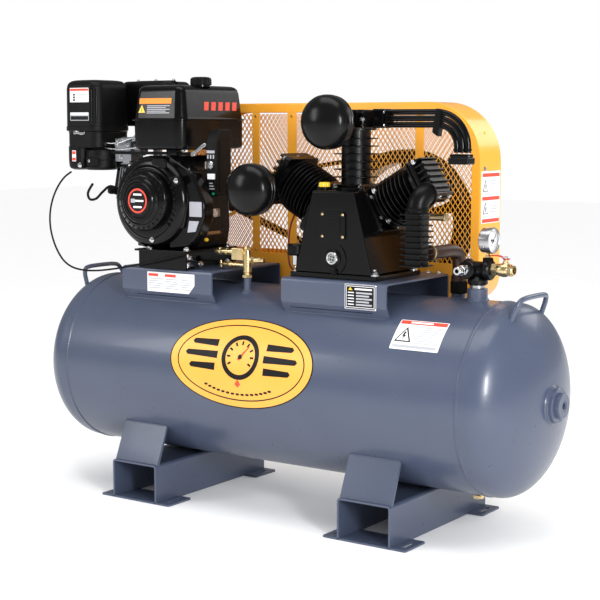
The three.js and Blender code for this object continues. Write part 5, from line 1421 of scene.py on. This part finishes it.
def guard():
    front, rear = span("guard_front"), span("guard_rear")
    guard_face("guard_front", "guard_front_panel", front[2], front[3],
               [(ENGINE_X, ENGINE_Z, 50), (PUMP_X, PUMP_Z, 40)])
    guard_face("guard_rear", "guard_rear_panel", rear[2], rear[3], [])
    piece = Piece("guard_edge_band")
    y0, y1 = BAND[2], BAND[3]
    sections = [(0, y0 + 1), (0, y1 - 1), (0.8, y1), (2, y1), (2, y0), (0.8, y0)]
    piece.skin([[Vector((a, y, b)) for a, b in guard_outline(inset, 14)] for inset, y in sections], "amber",
               loop=True)
    side = flat((BAND[1], 0, 0), (0, 1, 0), (0, 0, 1))
    piece.decal(side, rounded(152, 251, 727, 856, 1.5, 2), "label_white", lift=0.3)
    for z in (842, 784, 729):
        piece.decal(side, rectangle(157, 248, z, z + 9), "label_red", lift=0.7)
    for z in (806, 750):
        piece.decal(side, [(160, z), (188, z), (174, z + 30)], "label_black", lift=0.7)
        piece.decal(side, [(163.5, z + 2), (184.5, z + 2), (174, z + 25)], "label_white", lift=1.1)
        piece.decal(side, rounded(172.4, 175.6, z + 6, z + 17, 1.2, 2), "label_black", lift=1.5)
        for i in range(4):
            piece.decal(side, rectangle(198, 240 - 7 * (i % 2), z + 4 + i * 7, z + 6 + i * 7), "label_grey",
                        lift=0.7)
        piece.decal(side, rectangle(158, 246, z - 6, z - 5), "label_grey", lift=0.7)
    piece.bolt((BAND[1], 168, 862), (1, 0, 0), 8, 4, "steel")
    for x, z in ((BAND[1] - 1, 600), (BAND[1] - 1, 950)):
        piece.drum(4, (x, 164, z), (1, 0, 0), 3, "amber", 16)
    piece.done("guard_band")


# ---- Outlet fittings ----
OUTLET_X, OUTLET_Z = 519.5, 634


def outlet_tee():
    z0 = span("outlet_tee")[4]
    x, y, z = OUTLET_X, TANK_Y, OUTLET_Z
    piece = Piece("malleable_tee")
    piece.lathe([(0, 0), (18, 0), (18, 8), (0, 8)], (x, y, z0), (0, 0, 1), "steel", 36)
    piece.lathe([(0, 7), (20, 7), (24, 10), (24, 19), (21, 22), (18.5, 26), (0, 44)], (x, y, z0), (0, 0, 1),
                "cast_black", 48)
    piece.lathe([(0, -32), (22, -32), (24.5, -29), (24.5, -20), (21, -17), (19, -10), (19, 10), (21, 20),
                 (24.5, 24), (24.5, 34), (22, 37), (0, 37)], (x, y, z), (1, 0, 0), "cast_black", 56)
    piece.lathe([(0, 0), (17, 0), (17, 20), (20, 22), (20, 25), (18, 26), (0, 26)], (x - 18, y, z),
                (0, -1, 0), "cast_black", 48)
    piece.lathe([(0, 13), (14, 13), (14, 26), (12, 29), (0, 29)], (x + 26, y, z), (0, 0, 1), "cast_black", 6)
    piece.done("outlet_tee")


def gauge():
    _, _, _, _, z0, _ = span("gauge_case")
    x, y, z = OUTLET_X + 26, TANK_Y, 703
    back = x - 13
    piece = Piece("pressure_gauge")
    piece.lathe([(0, 0), (26, 0), (29, 1.5), (30, 4), (30, 17), (31, 18), (31, 27), (30, 28.5), (28.5, 28.5),
                 (27.4, 27), (27.4, 21), (0, 21)], (back, y, z), (1, 0, 0), "steel", 72)
    dial = flat((back + 21, y, z), (0, 1, 0), (0, 0, 1))
    piece.decal(dial, ellipse(0, 0, 27.2, 27.2, 56), "label_white", lift=0.05, thick=0.3)
    for i in range(41):
        angle = math.radians(225 - i * 270 / 40)
        long = 4.5 if i % 5 == 0 else 2.4
        c, s = math.cos(angle), math.sin(angle)
        half = 0.45 if i % 5 == 0 else 0.22
        outline = [(r * c - t * s, r * s + t * c) for r, t in ((23 - long, -half), (23, -half), (23, half),
                                                               (23 - long, half))]
        piece.decal(dial, outline, "label_black", lift=0.45, thick=0.15)
    piece.outline_decal(dial, ellipse(0, 0, 24.2, 24.2, 64), ellipse(0, 0, 23.7, 23.7, 64), "label_black",
                        lift=0.45)
    piece.decal(dial, rounded(-6, 6, -13, -10.5, 1, 2), "label_grey", lift=0.45)
    piece.drum(3, (back + 21.4, y, z), (1, 0, 0), 1.4, "satin_black", 24, 0.3)
    piece.lathe([(0, 0), (7, 0), (7, 5), (4.5, 6), (4.5, 13), (0, 13)], (x, y, z0), (0, 0, 1), "brass", 6)
    piece.done("gauge_case")
    x0, _, _, _, _, _ = span("gauge_needle")
    needle = Piece("gauge_pointer_hand")
    angle = math.radians(52)
    u = Vector((0, math.cos(angle), math.sin(angle)))
    v = Vector((0, -math.sin(angle), math.cos(angle)))
    outline = [(-8, -1.8), (-8, 1.8), (0, 1.3), (20, 0.3), (20, -0.3), (0, -1.3)]
    needle.block((x0 + 0.1, y, z), u, v, outline, 0, 0.8, "label_black", 0.1, 1)
    needle.drum(2.8, (x0 + 0.1, y, z), (1, 0, 0), 1.4, "satin_black", 20, 0.3)
    needle.done("gauge_needle")


def ball_valve():
    x0, _, _, _, _, _ = span("ball_valve")
    y, z = TANK_Y, OUTLET_Z + 2
    piece = Piece("outlet_ball_valve")
    start = (x0, y, z)
    piece.lathe([(9, 0), (15.5, 0), (15.5, 12), (14, 14), (9, 14), (9, 0)], start, (1, 0, 0), "brass", 6)
    piece.lathe([(9, 13), (13, 13), (15.4, 19), (16.6, 26), (16.6, 33), (15, 39), (12.5, 43), (9, 43),
                 (9, 13)], start, (1, 0, 0), "brass", 48)
    piece.lathe([(9, 42), (14.2, 42), (14.2, 51), (12.8, 52), (9, 52), (9, 42)], start, (1, 0, 0), "brass", 8)
    piece.lathe([(9, 51), (12, 51), (12, 52.4), (11.4, 53.2), (12, 54), (11.4, 54.8), (12, 55.4), (11, 56),
                 (9, 56), (9, 51)], start, (1, 0, 0), "brass", 40)
    piece.lathe([(0, 0), (8, 0), (8, 5), (6, 7), (6, 11.8), (0, 11.8)], (x0 + 34, y, z + 12.5), (0, 0, 1),
                "brass", 28)
    piece.done("ball_valve")


def valve_lever():
    _, x1, _, _, z0, _ = span("valve_lever")
    x = x1 - 8
    piece = Piece("valve_handle")
    upper = smooth_path([(x + 8, 0, z0 + 1.8), (x - 4, 0, z0 + 1.8), (x - 10, 0, z0 + 6),
                         (x - 22, 0, z0 + 8.6), (x - 38, 0, z0 + 7.6)], 6)
    rings = []
    for i, p in enumerate(upper):
        half = 6 - 0.8 * math.sin(i / len(upper) * math.pi)
        rings.append([Vector((p.x, TANK_Y + a, p.z + b)) for a, b in rounded(-half, half, -1.5, 1.5, 1.4, 3)])
    piece.skin(rings, "red")
    piece.bolt((x, TANK_Y, z0 + 3), (0, 0, 1), 9, 4.4, "bright")
    piece.done("valve_lever")


def quick_plug():
    x0, x1, _, y1, _, _ = span("quick_plug")
    x, z = (x0 + x1) / 2, OUTLET_Z
    piece = Piece("coupler_plug")
    start = (x, y1, z)
    piece.lathe([(5, 0), (13.5, 0), (13.5, 9), (12, 11), (5, 11), (5, 0)], start, (0, -1, 0), "bright", 6)
    profile = [(5, 10), (9.5, 10), (9, 12), (9, 22), (9.6, 24), (12, 26), (12, 28), (11, 29), (12, 30),
               (12, 37), (10, 40), (10, 43), (9, 44), (5, 44), (5, 10)]
    piece.lathe(profile, start, (0, -1, 0), "bright", 44)
    piece.done("quick_plug")


# ---- Pilot valve ----
def pilot_valve():
    x0, x1, _, _, z0, z1 = span("pilot_valve")
    x, y = -98, TANK_Y - 75
    piece = Piece("unloader_valve")
    piece.lathe([(0, 0), (13.5, 0), (13.5, 6), (0, 6)], (x, y, z0), (0, 0, 1), "brass", 6)
    piece.lathe([(0, 5), (9, 5), (9, 12), (11, 14), (11, 60), (9, 64), (9, 70), (0, 70)], (x, y, z0),
                (0, 0, 1), "brass", 40)
    piece.lathe([(0, 69), (8, 69), (8, 75), (6.5, 77), (5, z1 - z0), (0, z1 - z0)], (x, y, z0), (0, 0, 1),
                "brass", 6)
    piece.box(x - 44, x - 8, y - 10, y + 10, 628, 658, "brass", 1.6)
    profile = [(0, 0), (10, 0), (10, 7), (8.6, 9), (8.6, 18), (9.4, 19), (9.4, 24), (8.6, 25), (8.6, 39),
               (10, 41), (10, 50), (6, 54), (3.4, 62), (0, 62)]
    piece.lathe(profile, (x - 43, y, 648), (-1, 0, 0), "brass", 40)
    piece.lathe([(0, 0), (7.6, 0), (7.6, 44), (6.5, 46), (6.5, 64), (5, 67), (0, 67)], (x - 8, y, 615),
                (-1, 0, 0), "brass", 32)
    piece.lathe([(0, 46), (9, 46), (9, 52), (0, 52)], (x - 8, y, 615), (-1, 0, 0), "brass", 6)
    piece.lathe([(0, 0), (8, 0), (8, 27), (6.6, 29), (5.5, 45), (0, 45)], (x + 8, y, 630), (1, 0, 0),
                "brass", 32)
    piece.lathe([(0, 8), (9.5, 8), (9.5, 17), (0, 17)], (x + 8, y, 630), (1, 0, 0), "brass", 6)
    piece.done("pilot_valve")
    x0, x1, _, _, z0, z1 = span("pilot_toggle")
    toggle = Piece("unloader_toggle_lever")
    toggle.drum(3, (x1, y, 615), (-1, 0, 0), x1 - x0 - 3, "brass", 20)
    toggle.lathe([(0, 0), (2.4, 1), (3.4, 4), (3, 11), (3.4, 18), (2.4, 21), (0, 22)], (x0 + 3.4, y, z0),
                 (0, 0, 1), "brass", 24)
    toggle.done("pilot_toggle")


# ---- Labels of the receiver and decks ----
def receiver_emblem():
    """An amber oval with a generic dial between tapered bars."""
    piece = Piece("receiver_emblem")
    at = tank_side(-15, math.degrees(62 / TANK_RADIUS))
    piece.decal(at, ellipse(0, 0, 217, 115, 96), "label_black", lift=0.3, thick=0.25, rings=14)
    piece.decal(at, ellipse(0, 0, 214, 112, 96), "label_amber", lift=0.6, thick=0.25, rings=14)
    piece.outline_decal(at, ellipse(0, 0, 193, 96, 120), ellipse(0, 0, 190, 93, 120), "label_black",
                        lift=0.95)
    piece.outline_decal(at, ellipse(0, 12, 56, 56, 96), ellipse(0, 12, 44, 44, 96), "label_black",
                        lift=0.95, thick=0.3)
    for i in range(9):
        angle = math.radians(210 - i * 30)
        c, s = math.cos(angle), math.sin(angle)
        tick = [(r * c - t * s, 12 + r * s + t * c) for r, t in ((30, -2.4), (40, -2.4), (40, 2.4),
                                                                 (30, 2.4))]
        piece.decal(at, tick, "label_black", lift=0.95, thick=0.3)
    needle = math.radians(52)
    c, s = math.cos(needle), math.sin(needle)
    hand = [(r * c - t * s, 12 + r * s + t * c) for r, t in ((-9, -4), (34, -1), (34, 1), (-9, 4))]
    piece.decal(at, hand, "label_red", lift=1.3, thick=0.3)
    piece.decal(at, ellipse(0, 12, 6, 6, 24), "label_black", lift=1.7, thick=0.3)
    for side in (-1, 1):
        for row, (near, far) in enumerate(((74, 148), (70, 164), (74, 148))):
            b = 12 + (1 - row) * 30
            bar = [(side * near, b - 9), (side * far, b - 6.5), (side * (far + 6), b),
                   (side * far, b + 6.5), (side * near, b + 9)]
            piece.decal(at, bar, "label_black", lift=0.95, thick=0.3, rings=4)
    for i in range(15):
        angle = math.radians(-128 + i * 5.4)
        c, s = math.cos(angle), math.sin(angle)
        piece.decal(at, rounded(158 * c - 5, 158 * c + 5, 80 * s - 2.6, 80 * s + 2.6, 2, 3), "label_black",
                    lift=0.95)
    piece.decal(at, [(-9, -55), (0, -63), (9, -55), (0, -44)], "label_red", lift=0.95, thick=0.3)
    piece.done("tank_shell", stands_in=False)


def receiver_label():
    piece = Piece("receiver_notice")
    at = tank_side(456.5, math.degrees(177 / TANK_RADIUS))
    piece.decal(at, rounded(-63.5, 63.5, -42, 42, 2, 2), "label_white", lift=0.3, rings=8)
    piece.decal(at, rectangle(-61, 61, 29, 40), "label_red", lift=0.7, rings=2)
    piece.decal(at, rectangle(-34, 24, 32, 37), "label_white", lift=1.1, rings=2)
    piece.decal(at, [(-58, -22), (-14, -22), (-36, 20)], "label_black", lift=0.7, rings=4)
    piece.decal(at, [(-52.5, -19), (-19.5, -19), (-36, 12.5)], "label_white", lift=1.1, rings=4)
    piece.decal(at, [(-38, 5), (-33, 5), (-36, -4), (-31, -4), (-39, -17), (-37, -7), (-41, -7)],
                "label_black", lift=1.5, rings=2)
    for i in range(8):
        piece.decal(at, rectangle(-6, 56 - 9 * (i % 3 == 2), 20 - i * 6.4, 22.6 - i * 6.4), "label_grey",
                    lift=0.7)
    piece.decal(at, rectangle(-58, 56, -37, -30), "label_grey", lift=0.7)
    piece.done("tank_shell", stands_in=False)


def deck_labels():
    y = TANK_Y - 150
    front = flat((0, y, 0), (1, 0, 0), (0, 0, 1))
    piece = Piece("engine_deck_notice")
    sheet = [(-367, 540), (-229, 540), (-210, 562), (-210, 591), (-367, 591)]
    piece.decal(front, sheet, "label_white", lift=0.3)
    for a, b in ((-363, -330), (-307, -271)):
        piece.decal(front, rectangle(a, b, 580, 587), "label_red", lift=0.7)
    for row in range(5):
        for a, b in ((-362, -318), (-306, -262), (-252, -222)):
            piece.decal(front, rectangle(a, b - 5 * (row % 2), 549 + row * 6, 551 + row * 6), "label_grey",
                        lift=0.7)
    piece.done("engine_deck", stands_in=False)
    piece = Piece("pump_rating_plate")
    piece.prism(rounded(245, 334, 537, 598, 2, 3), "Y", y - 0.9, y - 0.1, "label_silver", 0.3)
    plate = flat((0, y - 0.9, 0), (1, 0, 0), (0, 0, 1))
    piece.decal(plate, rounded(248, 331, 540, 595, 1.5, 2), "label_black", lift=0.05)
    piece.outline_decal(plate, rounded(250, 329, 542, 593, 1.5, 2),
                        rounded(251.4, 327.6, 543.4, 591.6, 1.2, 2), "label_white", lift=0.3)
    piece.decal(plate, [(256, 583), (268, 583), (262, 590)], "yellow", lift=0.3)
    piece.decal(plate, rectangle(274, 322, 584, 588), "label_white", lift=0.3)
    for row in range(5):
        piece.decal(plate, rectangle(255, 272, 548 + row * 7, 550.4 + row * 7), "label_white", lift=0.3)
        piece.decal(plate, rectangle(278, 322 - 8 * (row % 2), 547 + row * 7, 551 + row * 7), "label_grey",
                    lift=0.3)
    for cx in (248.5, 330.5):
        for cz in (540.5, 594.5):
            piece.drum(1.6, (cx, y - 0.8, cz), (0, -1, 0), 0.9, "bright", 12, 0.2)
    piece.done("pump_deck", stands_in=False)


def shafts():
    """The two crankshafts keep their own shape, in ground steel."""
    for node in ("engine_crankshaft", "pump_crankshaft"):
        mesh = frame["nodes"][node].data
        mesh.materials.clear()
        mesh.materials.append(finish_named("steel"))


make_camera()
throttle_cable()
make_studio()
tank()
for side, name in ((1, "right"), (-1, "left")):
    tank_head(side, "tank_head_" + name)
    tank_handle(side, "tank_handle_" + name)
foot(354, "foot_right")
foot(-347, "foot_left")
deck("pump_mount_deck", "pump_deck", (82, 318), 285)
deck("engine_mount_deck", "engine_deck", (-411, -212), -300)
drain()
engine_base()
engine_block()
engine_cylinder()
engine_head()
plug_lead()
fan_housing()
recoil_cover()
recoil_grip()
fuel_tank()
fuel_cap()
air_cleaner_cover()
air_cleaner_base()
carburettor()
governor_linkage()
muffler()
control_box()
key_switch()
throttle_lever()
pump_crankcase()
pump_cover()
sight_glass()
oil_cap()
for bore in BORES:
    pump_cylinder(bore)
    pump_head(bore)
air_filters()
intercooler()
aftercooler()
discharge_pipe()
pump_fittings()
flywheel()
engine_pulley()
drive_belts()
guard()
outlet_tee()
gauge()
ball_valve()
valve_lever()
quick_plug()
pilot_valve()
receiver_emblem()
receiver_label()
deck_labels()
shafts()
